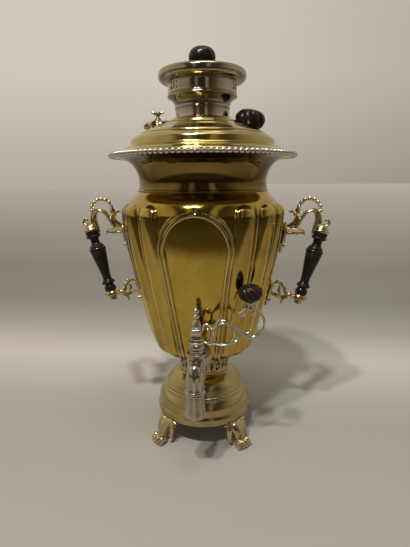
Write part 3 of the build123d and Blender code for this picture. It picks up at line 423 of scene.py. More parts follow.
# ---- Water vessel: one shell raised from sheet brass. Twelve rounded lobes with a thin reed
# between each two run down from scalloped shoulders; at the front two narrower lobes flank a plain,
# nearly flat panel. It is soldered to the bottom plate below and to the collar above.
vessel_foot, neck_line = 112.0, 330.0
first_reed, lobe_count, reed_half = 44.0, 12, 1.7
lobe_pitch = (360 - 2 * first_reed) / lobe_count
panel_edge, frame_edge, small_lobe_end = 21.3, 25.5, 42.3
lobe_relief = 6.5
valley_line = fair([(112, 36.5), (115, 44.5), (118.5, 51.5), (123, 58), (129.6, 62.9), (138.3, 65.4),
                    (154.8, 70.1), (187.1, 77.7), (222.1, 85.5), (256, 92.5), (283.7, 96.6), (300.9, 97.7),
                    (308, 97.5), (313, 96.2), (318, 93.2), (323, 88.4), (327, 84.4), (330, 82.0)], 10)
arch_foot, arch_spring, arch_top = 117.5, 267.5, 309.4
arch_low, arch_wide = 20.6, 39.6


def valley(z):
    """The vessel's radius at the bottom of the valleys between its lobes."""
    return np.interp(z, valley_line[:, 0], valley_line[:, 1])


def rounded(s):
    """A quarter ellipse: sqrt(1 - (1 - s)^2), for ends that swell up from nothing."""
    s = np.clip(s, 0, 1)
    return np.sqrt(1 - (1 - s)**2)


def relief(z):
    """The height of a full lobe above the valley, less towards the foot."""
    return lobe_relief * np.interp(z, [117, 150, 190, 250, 300], [0.62, 0.76, 0.85, 0.95, 1.0])


def panel_sink(z):
    """How far the panel's middle lies below the valley."""
    return 0.6 * relief(z) * np.clip((z - 114) / 14, 0, 1) * np.clip((315 - z) / 8, 0, 1)


def skin(angle, z):
    """The vessel's outer radius: valley + lobe (1 - |p|^2.3)^0.72 between reeds, a low bead on each
    reed, and a panel sunk as (angle / edge)^2 inside the arch."""
    t = np.abs((angle + 180) % 360 - 180)
    turn = (t - first_reed) / lobe_pitch
    off_reed = t - first_reed - lobe_pitch * np.round(turn)
    p = np.clip(np.abs((turn % 1 - 0.5) * lobe_pitch / (lobe_pitch / 2 - reed_half)), 0, 1)
    near = np.abs(2 * t - small_lobe_end - frame_edge) / (small_lobe_end - frame_edge)
    p = np.where(t < small_lobe_end, np.clip(near, 0, 1), p)
    bulge = (1 - p**2.3)**0.72
    scallop = 1 - np.sqrt(1 - p**2)
    ends = rounded((316.0 - 10.5 * scallop - z) / 12) * rounded((z - 116.5 - 8 * scallop) / 13)
    lobes = relief(z) * bulge * ends
    reed = np.sqrt(np.clip(1 - (off_reed / reed_half)**2, 0, 1)) * np.where(t > small_lobe_end, 1.0, 0)
    reeds = (1.7 * reed - 0.45 * (reed > 0)) * np.clip((z - 119) / 6, 0, 1) * np.clip((317 - z) / 6, 0, 1)
    outside = valley(z) + np.maximum(lobes, 0) + reeds
    sunk = valley(z) - panel_sink(z) * (1 - np.clip(t / panel_edge, 0, 1.2)**2)
    x = valley(z) * np.sin(np.radians(t))
    legs = np.interp(z, [arch_foot, arch_spring], [arch_low, arch_wide])
    climb = (z - arch_spring) / (arch_top - arch_spring)
    half = np.where(z < arch_spring, legs, arch_wide * np.sqrt(np.clip(1 - climb**2, 0, 1)))
    half = np.where(z < arch_foot, 0, half)
    inside = np.clip((half + 1.5 - x) / 3.0, 0, 1) * (t < 35)
    return outside + (sunk - outside) * inside * inside * (3 - 2 * inside)


lobe_turns = np.sin(np.linspace(-1, 1, 23) * math.pi / 2)[:-1] * (lobe_pitch / 2 - reed_half)
reed_turns = np.linspace(-1, 1, 8)[:-1] * reed_half
side_turns = [first_reed + lobe_pitch * k + turns for k in range(lobe_count)
              for turns in (reed_turns, lobe_pitch / 2 + lobe_turns)]
small_turns = np.sin(np.linspace(-1, 1, 21) * math.pi / 2)
small_lobe = 0.5 * (small_lobe_end + frame_edge + small_turns * (small_lobe_end - frame_edge))
front_half = np.concatenate([np.linspace(0, panel_edge, 25), np.linspace(panel_edge, frame_edge, 10)[1:],
                             small_lobe[1:-1]])
columns = np.concatenate([*side_turns, 360 - first_reed + reed_turns, 360 - front_half[::-1],
                          front_half[1:]])
levels = np.concatenate([np.linspace(vessel_foot, 134, 30), np.linspace(137, 288, 52),
                         np.linspace(290, 319, 34), np.linspace(320, neck_line, 9)])
inner_levels = np.linspace(neck_line, vessel_foot, 26)
angles, a = columns[None], np.radians(columns)[None]
outer_skin = skin(angles, levels[:, None])
inner_skin = np.minimum(skin(angles, inner_levels[:, None]), valley(inner_levels)[:, None]) - 1.3
radii = np.vstack([outer_skin, inner_skin])
heights = np.concatenate([levels, inner_levels])[:, None] + 0 * a
vessel_brass = metal("vessel_brass", (0.56, 0.39, 0.066), (0.24, 0.14, 0.017), (0.86, 0.72, 0.44),
                     spread=13, amount=0.75, polish=0.075, dull=0.20, grime_and_shade=1.0, wear_and_highlight=0.6, dents=0.16)
skins = np.stack([radii * np.sin(a), -radii * np.cos(a), heights], -1)
make_piece("lobed_vessel", [grid(skins, loop=True)], vessel_brass, "vessel",
           ["body_shell"], crease=50)

# ---- Bottom plate, fire pipe and grate: the sheet-iron pipe stands on the plate, right up through
# the water, and a loose cast grate with slots lies in its foot.
fire_iron = metal("fire_iron", (0.20, 0.17, 0.15), (0.07, 0.045, 0.03), (0.35, 0.30, 0.26),
                  spread=45, amount=1.0, polish=0.42, dull=0.75, dents=0.6)
dress(fire_iron, "fire_pipe", "grate")
dress(vessel_brass, "vessel_bottom")

# ---- Front frame: a drawn brass moulding bent to an arch and soldered round the panel. It has a
# broad bright bead inside, a groove, and a fine bead outside.


def panel_front(z):
    """How far forward of the axis the frame's bed lies."""
    return valley(z) - panel_sink(z) + 0.35


rise = np.linspace(0, math.pi, 41)[1:-1]
side_z = np.linspace(arch_foot, arch_spring, 34)
side_x = np.interp(side_z, [arch_foot, arch_spring], [arch_low, arch_wide])
arch_x = np.concatenate([-side_x, -arch_wide * np.cos(rise), side_x[::-1]])
arch_z = np.concatenate([side_z, arch_spring + (arch_top - arch_spring) * np.sin(rise), side_z[::-1]])
way_x, way_z = np.gradient(arch_x), np.gradient(arch_z)
long = np.hypot(way_x, way_z)
broad = 1 + 0.45 * np.clip((arch_z - arch_spring) / (arch_top - arch_spring), 0, 1)[:, None]
moulding = outline(
    [(-3.9, -6.5), (-3.9, -0.9)],
    [(-3.5, 0.2), (-2.6, 0.95), (-1.5, 1.0), (-0.6, 0.4), (-0.3, -0.4)],
    [(0.1, -0.8), (0.9, -0.8), (1.2, -0.4)],
    [(1.6, 0.25), (2.3, 0.5), (3.0, 0.25), (3.4, -0.4)],
    [(3.9, -1.2)], [(3.9, -6.5)], steps=4)
out, proud = moulding[:, 0], moulding[:, 1]
frame_rows = np.stack([
    arch_x[:, None] - (way_z / long)[:, None] * out * broad,
    -panel_front(arch_z)[:, None] - proud,
    arch_z[:, None] + (way_x / long)[:, None] * out * broad], -1)
ends = [np.repeat(frame_rows[k].mean(0)[None, None], len(out), 1) for k in (0, -1)]
frame_rows = np.concatenate([ends[0], frame_rows, ends[1]])
panel_brass = metal("panel_brass", (0.54, 0.40, 0.13), (0.26, 0.165, 0.035), (0.92, 0.86, 0.70),
                    spread=30, amount=0.45, polish=0.10, dull=0.28, grime_and_shade=1.2, wear_and_highlight=0.8, dents=0.12)
make_piece("arched_frame", [grid(frame_rows)], panel_brass, "vessel", ["panel_frame"],
           crease=40)

# ---- Neck collar: a flared ring of sheet brass that is soldered to the vessel's neck, hollow and
# smooth in front, with the filler mouth inside its flat rim.
collar = outline(
    [(80.8, 330), (82.3, 330)],
    [(83.0, 330.8), (82.6, 332.0), (81.8, 332.6)],
    [(80.9, 336), (80.6, 341), (81.1, 347), (83.2, 354), (87.2, 361), (93, 366.2), (100, 368.9),
     (107, 370.2), (112.4, 370.8)],
    [(113.2, 372.0), (113.2, 373.6), (112.6, 374.5)],
    [(100, 374.5)], [(100, 371)],
    [(96, 369.2), (91, 366), (86, 360.2), (82, 353.5), (79.8, 346.5), (79.3, 340), (79.8, 334),
     (80.8, 330)])
# Painted shade: the collar's brass is coloured far darker than the vessel's, for the shade and dark
# reflections under its flare.
collar_brass = metal("collar_brass", (0.24, 0.165, 0.045), (0.08, 0.045, 0.009), (0.70, 0.56, 0.30),
                     spread=16, amount=0.55, polish=0.08, dull=0.24, dents=0.14)
make_piece("flared_collar", [lathe(collar, 224)], collar_brass, "vessel", ["neck_collar"])

# ---- Beaded rim: a wire of round beads, nickelled and worn, soldered round the collar's edge.
bead_circle, bead_height, bead_half, bead_count = 113.9, 373.0, (3.0, 3.0, 3.15), 112
bead_marks = np.arange(bead_count) * 2 * math.pi / bead_count
spots = [(bead_circle * math.sin(mark), -bead_circle * math.cos(mark), bead_height) for mark in bead_marks]
beads = [ball(spot, bead_half, 12, 8) for spot in spots]
wire_circle, wire_height, wire_radius = 113.0, 373.2, 1.0
wire_turns = np.linspace(0, 2 * math.pi, 12, endpoint=False)
wire = np.stack([wire_circle + wire_radius * np.cos(wire_turns),
                 wire_height + wire_radius * np.sin(wire_turns)], -1)
worn_nickel = metal("worn_nickel", (0.42, 0.37, 0.28), (0.17, 0.12, 0.055), (0.80, 0.76, 0.66),
                    spread=70, amount=0.6, polish=0.14, dull=0.36, grime_and_shade=3.0, wear_and_highlight=1.0, dents=0.2)
make_piece("rim_of_beads", [*beads, lathe(wire, 224)], worn_nickel, "vessel", ["bead_rim"])

# ---- Lid: a spun brass dome that slips over the fire pipe. Its skirt drops into the filler mouth. A
# hollow slope climbs from the edge to a rounded step, and bands with small steps lead to the neck.
lid_edge, lid_seat, lid_peak = 109.0, 374.5, 417.0
over = [
    [(lid_edge - 1.0, lid_seat), (lid_edge, 375.1), (lid_edge, 376.3), (108.2, 377.1)],
    [(105.5, 377.6), (102.0, 378.8), (98.6, 380.6)], [(97.6, 380.7), (97.0, 381.6)],
    [(94.6, 382.4), (92.2, 383.6)], [(91.0, 383.7), (90.2, 384.6)],
    [(89.6, 387.0), (89.1, 389.6), (88.2, 391.7), (86.8, 392.8)], [(85.9, 392.8)],
    [(84.2, 394.6), (81.8, 396.1), (79.2, 397.3)], [(78.6, 398.6), (77.2, 399.4)],
    [(72.4, 401.7), (66.4, 404.0), (60.0, 406.0)], [(59.4, 406.7), (58.2, 407.0)],
    [(52.4, 409.1), (46.6, 411.0)], [(45.9, 412.5), (44.4, 413.4)],
    [(42.0, 414.4), (39.6, 415.2)], [(38.9, 415.7), (38.2, 416.6), (37.2, lid_peak)],
    [(31.1, lid_peak)], [(31.1, 413.6)]]
under = [[(43.5, 411.8)], [(52.2, 407.6), (62, 403.4), (68.7, 401), (78.8, 395.8), (84.6, 391.2),
                           (87.2, 387.6), (89.0, 382.8)]]
skirt = [[(103.0, 378.0)], [(103.0, 376.2)], [(98.3, 376.2)], [(98.3, 371.5)], [(99.5, 371.5)],
         [(99.5, lid_seat)]]
lid_brass = metal("lid_brass", (0.55, 0.44, 0.16), (0.31, 0.22, 0.055), (0.86, 0.77, 0.50),
                  spread=20, amount=0.6, polish=0.12, dull=0.30, dents=0.14)
make_piece("stepped_lid", [lathe(outline(*over, *under, *skirt, steps=3), 224)], lid_brass,
           "lid", ["lid"])

# ---- Lid knob: turned and carved black wood on a petalled brass seat, held by a screw from inside
# the lid. It leans with the slope of the dome.
lid_knob_reach, lid_knob_seat, lid_knob_lean = 57.0, 405.74, 10
lid_knob_place = at(lid_knob_reach, 0, lid_knob_seat, tilt=lid_knob_lean)


def carved(profile, swell, sides=96):
    """A turned profile whose radius varies round it: r = profile radius x swell(angle, height)."""
    a = np.arange(sides) * 2 * math.pi / sides
    r, z = profile[:, :1], profile[:, 1:]
    r = r * swell(a[None], z)
    return grid(np.stack([r * np.sin(a), -r * np.cos(a), z + 0 * a], -1))


def ribbed_knob(radius, height, base, ribs, swirl, depth):
    """A flattened ball with swirling ribs: its radius is cut by
    depth (1 - |sin(ribs (a + swirl t) / 2)|^0.55), where t runs over the height, less near both ends."""
    ball_line = fair([(0.0, 0.0), (0.44, 0.0), (0.60, 0.06), (0.86, 0.2), (0.99, 0.42), (0.985, 0.6),
                      (0.88, 0.78), (0.66, 0.92), (0.36, 0.985), (0.12, 1.0), (0.0, 1.0)], 5)
    ball_line[:, 0] = np.maximum(ball_line[:, 0], 0)

    def ribs_at(a, z):
        t = (z - base) / height
        groove = 1 - np.abs(np.sin(0.5 * ribs * (a + swirl * t)))**0.55
        return 1 - depth * groove * np.clip(4 * t, 0, 1) * np.clip(6 * (1 - t), 0, 1)

    return carved(ball_line * (radius, height) + (0, base), ribs_at)


def petals(count, depth):
    """A swell that gives round petals: 1 - depth (1 - |cos(count a / 2)|^0.6)."""
    return lambda a, z: 1 - depth * (1 - np.abs(np.cos(0.5 * count * a))**0.6)


black_wood = bpy.data.materials.new("black_wood")
black_wood.use_nodes = True
wood = black_wood.node_tree
wood.nodes.clear()
add = node_maker(wood)
place = add("ShaderNodeTexCoord").outputs["Object"]
stretch = add("ShaderNodeMapping", {"Vector": place, "Scale": (1.0, 1.0, 0.16)})
grain = add("ShaderNodeTexNoise", {"Vector": stretch.outputs[0], "Scale": 420.0, "Detail": 5.0,
                                   "Roughness": 0.65})
rubbed = add("ShaderNodeTexNoise", {"Vector": place, "Scale": 60.0, "Detail": 3.0})
ridge = add("ShaderNodeAttribute", attribute_name="ridge")
rubbed_edges = calc(add, "MULTIPLY", ridge.outputs["Fac"], rubbed.outputs["Fac"])
thin_spots = calc(add, "MULTIPLY", rubbed_edges, 0.9, clamp=True)
stain = blend(add, grain.outputs["Fac"], (0.006, 0.0045, 0.004, 1), (0.012, 0.009, 0.007, 1))
tone = blend(add, thin_spots, stain, (0.11, 0.055, 0.03, 1))
gloss = span(add, rubbed.outputs["Fac"], 0.3, 0.7, 0.17, 0.34)
pores = add("ShaderNodeBump", {"Height": grain.outputs["Fac"], "Strength": 0.12, "Distance": 0.0004})
lacquer = add("ShaderNodeBsdfPrincipled", {
    "Base Color": tone, "Roughness": gloss, "Normal": pores.outputs["Normal"],
    "Specular IOR Level": 0.16, "Coat Weight": 0.12, "Coat Roughness": 0.08})
add("ShaderNodeOutputMaterial", {"Surface": lacquer.outputs[0]})
vent_brass = metal("vent_brass", (0.40, 0.32, 0.18), (0.15, 0.105, 0.045), (0.78, 0.70, 0.52),
                   spread=110, amount=0.7, polish=0.2, dull=0.45, grime_and_shade=1.6, wear_and_highlight=0.9, dents=0.4)
knob_seat = outline([(0, -2.5), (11.6, -2.5)], [(11.6, 1.0), (11.2, 2.2), (10.2, 3.0), (8.8, 3.3)],
                    [(8.2, 4.4), (7.4, 5.0)], [(0, 5.0)])
make_piece("lid_knob_petals", [moved(carved(knob_seat, petals(10, 0.09)), lid_knob_place)], vent_brass,
           "lid", ["lid_knob_rosette"])
make_piece("lid_knob_carved", [moved(ribbed_knob(18.5, 23.2, -1.6, 10, 0.9, 0.14), lid_knob_place)],
           black_wood, "lid", ["lid_knob"])
dress(plain_steel, "lid_knob_screw")

# ---- Steam vent: a cast seat of eight curled leaves on the lid, and a small turning valve in it
# whose two wings are the finger grip.
vent_reach, vent_foot, leaf_count = 56.0, 405.85, 8
vent_place = at(-vent_reach, 0, vent_foot)
vent_seat = outline([(2.8, -8.0), (12.0, -8.0)], [(12.6, 0), (11.4, 3.2), (9.2, 4.4)],
                    [(8.0, 5.2), (7.4, 7.0), (7.2, 9.0), (6.6, 9.5)], [(4.1, 9.5)],
                    [(4.1, 5.2)], [(2.8, 5.2)], [(2.8, -8.0)])
vent_parts = [lathe(vent_seat, 64, loop=False)]
for k in range(leaf_count):
    leaf = [limb([(0, -6.5, 5.0, 1.6, 1.2), (0, -10.0, 5.6, 3.0, 1.8), (0, -13.8, 4.4, 3.6, 2.0),
                  (0, -16.8, 2.0, 2.6, 1.6), (0, -16.4, -1.8, 0.6, 0.6)], (0, 0.0001, 1), 12, 4, 3, 0.14),
            ball((0, -14.4, 3.2), (2.5, 2.2, 2.1), 10, 7)]
    vent_parts += [moved(part, at(turn=(k + 0.5) * 360 / leaf_count)) for part in leaf]
for points, _ in vent_parts[1:]:
    away = np.hypot(points[:, 0] - vent_reach, points[:, 1])
    lid_slope = np.interp(away, [39.6, 43.5, 52.2, 62.0, 68.7, 78.8], [9.3, 7.8, 3.3, -0.5, -2.7, -7.9])
    points[:, 2] = np.maximum(points[:, 2] + 2.0 + 0.2 * (lid_slope + 0.4), lid_slope - 1.5)
make_piece("vent_leaves", [moved(part, vent_place) for part in vent_parts], vent_brass, "lid",
           ["vent_seat"])
valve_stem = outline([(2.4, 5.5), (3.9, 5.5)], [(3.9, 9.9)],
                     [(5.2, 10.1), (5.2, 11.0), (4.2, 12.2), (2.6, 13.6), (2.1, 15.2), (2.5, 17.0),
                      (3.4, 18.6), (4.2, 19.8), (3.4, 20.6), (0, 20.8)], [(0, 7.2)], [(2.4, 7.2)])
wing = limb([(-8.4, 0, 21.2, 0.3, 0.5), (-6.4, 0, 20.0, 1.3, 1.1), (-3.0, 0, 18.8, 2.0, 1.3),
             (0, 0, 18.4, 2.6, 1.5), (3.0, 0, 18.8, 2.0, 1.3), (6.4, 0, 20.0, 1.3, 1.1),
             (8.4, 0, 21.2, 0.3, 0.5)], (0, 1, 0), 14, 5)
make_piece("winged_valve", [moved(lathe(valve_stem, 40), vent_place), moved(wing, vent_place)], vent_brass,
           "steam_valve", ["steam_valve"])

# ---- Crown: the teapot stand, spun from nickelled brass, that slips over the end of the fire pipe.
# A thick rounded lip, a straight wall with three pierced groups, a bead, and a bowl down to its socket.
crown_nickel = metal("crown_nickel", (0.40, 0.34, 0.235), (0.25, 0.18, 0.075), (0.78, 0.72, 0.58),
                     spread=24, amount=0.55, polish=0.10, dull=0.28, grime_and_shade=1.0, wear_and_highlight=0.7, dents=0.16)
crown_lip = outline(
    [(40.4, 456.5), (42.2, 456.5)],
    [(42.9, 457.2), (44.6, 457.6), (48.0, 458.2), (51.2, 459.8), (53.2, 462.6), (53.7, 465.6),
     (53.3, 468.4), (51.9, 470.5), (50.1, 471.0)],
    [(48.6, 470.6), (46.8, 468.2), (44.4, 463.4), (41.6, 459.8), (40.4, 458.6)], [(40.4, 456.5)])
crown_bowl = outline(
    [(31.1, 417.4), (33.3, 417.4)], [(33.3, 427.6)],
    [(34.0, 428.0), (34.2, 428.8), (33.9, 429.6)],
    [(34.1, 432.2), (35.4, 435.6), (38.0, 438.7), (41.0, 440.6)],
    [(42.5, 441.2), (42.9, 442.3), (42.5, 443.4), (42.0, 443.7)],
    [(42.5, 444.2), (42.5, 445.2), (42.0, 445.7)], [(42.0, 446.6)],
    [(40.4, 446.6)], [(40.4, 441.0)],
    [(37.2, 439.6), (34.6, 437.0), (33.9, 436.1)], [(27.8, 436.1)],
    [(27.8, 428.0)], [(31.1, 428.0)], [(31.1, 417.4)])


def crown_holes(angle, z, r):
    """Three groups: two upright pairs of round holes, and between them a lozenge with a bridge in it."""
    first, pitch, middle = -46, 120, 451.6
    pair_out, pair_up, pair_wide, pair_tall = 5.6, 2.6, 2.0, 2.1
    lozenge_wide, lozenge_tall, bridge_wide, bridge_tall = 3.0, 5.2, 1.0, 1.2
    away = (angle - first + pitch / 2) % pitch - pitch / 2
    s, up = np.radians(away) * r, z - middle
    pairs = np.hypot((np.abs(s) - pair_out) / pair_wide, (np.abs(up) - pair_up) / pair_tall) < 1
    lozenge = np.abs(s) / lozenge_wide + np.abs(up) / lozenge_tall < 1
    bridge = np.hypot(s / bridge_wide, up / bridge_tall) < 1
    return pairs | (lozenge & ~bridge)


tree = crown_nickel.node_tree
add = node_maker(tree)
shader = next(n for n in tree.nodes if n.type == "BSDF_PRINCIPLED")
place = add("ShaderNodeTexCoord").outputs["Object"]
flat = add("ShaderNodeVectorMath", {0: place, 1: (1, 1, 0)}, operation="MULTIPLY")
away = add("ShaderNodeVectorMath", {0: flat.outputs["Vector"]}, operation="LENGTH").outputs["Value"]
height = add("ShaderNodeSeparateXYZ", {0: place}).outputs["Z"]
# Inside the pierced wall and above the bowl's floor, the crown's colour goes near black.
darkened_inside_reach, darkened_inside_foot = 0.0410, 0.4408
below_wall = span(add, away, darkened_inside_reach, darkened_inside_reach - 0.0005)
darkened_inside = calc(add, "MULTIPLY", below_wall, span(add, height, darkened_inside_foot, darkened_inside_foot + 0.0008))
bare = shader.inputs["Base Color"].links[0].from_socket
tree.links.new(blend(add, darkened_inside, bare, (0.02, 0.016, 0.012, 1)), shader.inputs["Base Color"])
wall_radius, wall_foot, wall_top = 42.0, 446.2, 457.0
crown_wall = pierced(lambda z: wall_radius + 0 * z, np.linspace(wall_foot, wall_top, 28), 560, crown_holes,
                     1.6)
make_piece("crown_shell", [lathe(crown_lip, 192), lathe(crown_bowl, 192), crown_wall], crown_nickel,
           "crown", ["crown"])

# ---- Cap: a small spun brass dome that closes the fire pipe inside the crown, with a finely ribbed
# black wooden knob on its stem, held by a screw from below.
dress(lid_brass, "cap")
dress(plain_steel, "cap_screw")
make_piece("cap_knob_turned", [ribbed_knob(16.5, 24.0, 475.0, 12, 0.9, 0.035)], black_wood,
           "cap", ["cap_knob"])

# ---- Tap body: one nickelled casting. A round tube leaves the vessel's rosette, meets the upright
# barrel of the plug, and turns down into an eight-sided spout with arched facets, a band and a lip.
tap_height, plug_reach, spout_reach = 130.0, 90.0, 110.0
ahead = np.array([[1.0, 0, 0, 0], [0, 0, -1, 0], [0, 1, 0, tap_height], [0, 0, 0, 1]])
at_plug = at(y=-plug_reach)
barrel_line = outline(
    [(5.5, 114.0), (9.6, 114.0)],
    [(10.8, 114.6), (11.0, 115.8), (10.6, 117.0), (9.9, 117.6)],
    [(10.2, 120), (10.9, 124), (11.0, 130), (10.9, 136), (10.2, 140.4), (9.5, 142.0)],
    [(10.4, 142.6), (11.0, 143.8), (11.2, 145.0), (10.8, 146.3), (9.6, 147.0)],
    [(8.6, 147.6), (8.1, 148.8), (8.0, 150.6)],
    [(8.4, 151.4), (9.3, 152.6), (9.6, 154.4), (9.4, 156.4), (8.7, 158.0), (8.2, 158.5)],
    [(6.5, 158.5)], [(5.5, 114.0)])
tube_line = outline(
    [(5.2, 60.0), (8.0, 60.0)], [(8.0, 71.0)], [(10.4, 71.0)],
    [(11.9, 71.6), (12.4, 73.0), (11.8, 74.4), (10.5, 74.9)],
    [(9.4, 76.0), (9.1, 78.0), (9.7, 80.5), (10.4, 84)], [(9.4, 96), (8.0, 103), (7.2, 107)],
    [(5.2, 107)], [(5.2, 60.0)])


def spout(rows, sides=96):
    """Each row is (height, radius, eight, arch): the radius runs from round to the straight-sided eight
    R cos 22.5 / cos(a mod 45 - 22.5), less a shallow hollow in the middle of each face."""
    z, radius, eight, arch = (np.asarray(rows, float)[:, k:k + 1] for k in range(4))
    a = np.arange(sides) * 2 * math.pi / sides
    off = np.mod(a, math.pi / 4) - math.pi / 8
    flat = math.cos(math.pi / 8) / np.cos(off)
    dip = np.clip(1 - np.abs(off) / math.radians(17.0), 0, 1)**0.5
    r = radius * (1 + eight * (flat - 1)) - arch * dip
    return grid(np.stack([r * np.sin(a), -r * np.cos(a), z + 0 * a], -1))


spout_dome = [(140.6, 0.01, 0), (140.3, 2.0, 0), (139.3, 4.0, 0), (137.2, 5.9, 0), (134.5, 7.3, 0),
              (131.5, 8.4, 0.1), (128.5, 9.2, 0.3), (126.5, 9.6, 0.55), (125.0, 9.9, 0.8), (124, 10.1, 1)]
upper_facets = [(123, 10.3, 0.1), (122, 10.4, 0.5), (120.5, 10.5, 0.75), (117, 10.5, 0.85),
                (113, 10.5, 0.8), (111.2, 10.5, 0.5), (110.4, 10.5, 0.1)]
spout_band = [(109.9, 10.6), (109.5, 11.2), (108.8, 11.8), (107.8, 12.0), (106.8, 11.8), (106.3, 11.3),
              (106.0, 11.3), (105.4, 11.7), (104.6, 11.8), (103.8, 11.6), (103.3, 11.0), (102.8, 10.6)]
lower_facets = [(101.8, 10.4, 0.4), (99, 10.5, 0.6), (95, 10.8, 0.65), (90, 11.3, 0.6), (85, 12.0, 0.4),
                (82, 12.5, 0.15), (80, 12.8, 0), (78.2, 13.0, 0), (77.3, 12.8, 0)]
spout_mouth = (77.0, 12.3, 0.8, 0)
spout_bore = [(77.1, 7.0), (78, 6.2), (104, 6.0), (124, 6.0), (128, 4.0), (129, 0.01)]
spout_rows = [
    *[(z, r, eight, 0) for z, r, eight in spout_dome], *[(z, r, 1, arch) for z, r, arch in upper_facets],
    *[(z, r, 1, 0) for z, r in spout_band], *[(z, r, 1, arch) for z, r, arch in lower_facets], spout_mouth,
    *[(z, r, 0, 0) for z, r in spout_bore]]
tap_nickel = metal("tap_nickel", (0.44, 0.385, 0.285), (0.22, 0.155, 0.085), (0.84, 0.80, 0.70),
                   spread=42, amount=0.6, polish=0.10, dull=0.30, grime_and_shade=1.5, wear_and_highlight=0.8, dents=0.18)
tap_parts = [moved(lathe(barrel_line, 72), at_plug), moved(lathe(tube_line, 64), ahead),
             moved(spout(spout_rows), at(y=-spout_reach))]
make_piece("tap_casting", tap_parts, tap_nickel, "vessel", ["tap_body"], crease=28)

# ---- Tap fixings: a turned rosette outside the vessel, and inside it a shaped washer and a nut on
# the threaded shank. The ground plug turns in the barrel, held down by a washer and nut below.
rosette_line = outline(
    [(8.0, 58.0), (15.4, 58.0)], [(15.9, 64.4)],
    [(15.8, 66.2), (15.0, 67.4), (13.8, 67.8)],
    [(13.2, 68.4), (13.3, 69.4), (12.7, 70.2), (11.6, 70.4)],
    [(10.6, 71.2), (9.6, 71.9), (8.0, 72.0)], [(8.0, 58.0)])
make_piece("tap_rosette_turned", [moved(lathe(rosette_line, 96), ahead)], tap_nickel,
           "vessel", ["tap_rosette"])
dress(plain_steel, "tap_washer", "tap_nut", "plug_washer", "plug_nut")
dress(tap_nickel, "tap_plug")

# ---- Key: a cast openwork lever of nickelled brass. A square hub sits on the plug, and from it run a
# volute, a ring, a long S-sweep with leaf tips and a post for the knob; a turned finial holds it.
skirt_foot, hub_foot, hub_head, post_reach = 159.0, 162.1, 176.5, 61.5
key_nickel = metal("key_nickel", (0.60, 0.55, 0.45), (0.32, 0.24, 0.14), (0.86, 0.83, 0.76),
                   spread=70, amount=0.6, polish=0.13, dull=0.34, grime_and_shade=1.7, wear_and_highlight=0.9, dents=0.2)


def squared(a):
    """Turns a circle into a round-cornered square: 1 / (|sin a|^9 + |cos a|^9)^(1/9)."""
    return (np.abs(np.sin(a))**9 + np.abs(np.cos(a))**9)**(-1 / 9)


hub = outline([(8.6, skirt_foot), (8.9, 160.4)], [(8.6, 161.6), (6.2, 162.2)],
              [(6.4, 163.0), (6.9, 163.8), (7.0, 165.0), (6.5, 166.4), (6.2, 169.3), (6.5, 172.2),
               (7.0, 173.6), (7.0, 175.0), (6.6, 176.0), (6.0, hub_head)], [(4.1, hub_head)],
              [(4.1, hub_foot)], [(8.6, hub_foot)], [(8.6, skirt_foot)])


def hub_swell(a, z):
    """Square above the collar, round below it."""
    return 1 + (squared(a) - 1) * np.clip((z - 162.0) / 0.6, 0, 1)


def scrolled(*rows, **extra):
    """A limb in the upright plane through the axis, from rows of (x, z, wide, deep)."""
    return limb([(x, 0, z, wide, deep) for x, z, wide, deep in rows], (0, 1, 0), **extra)


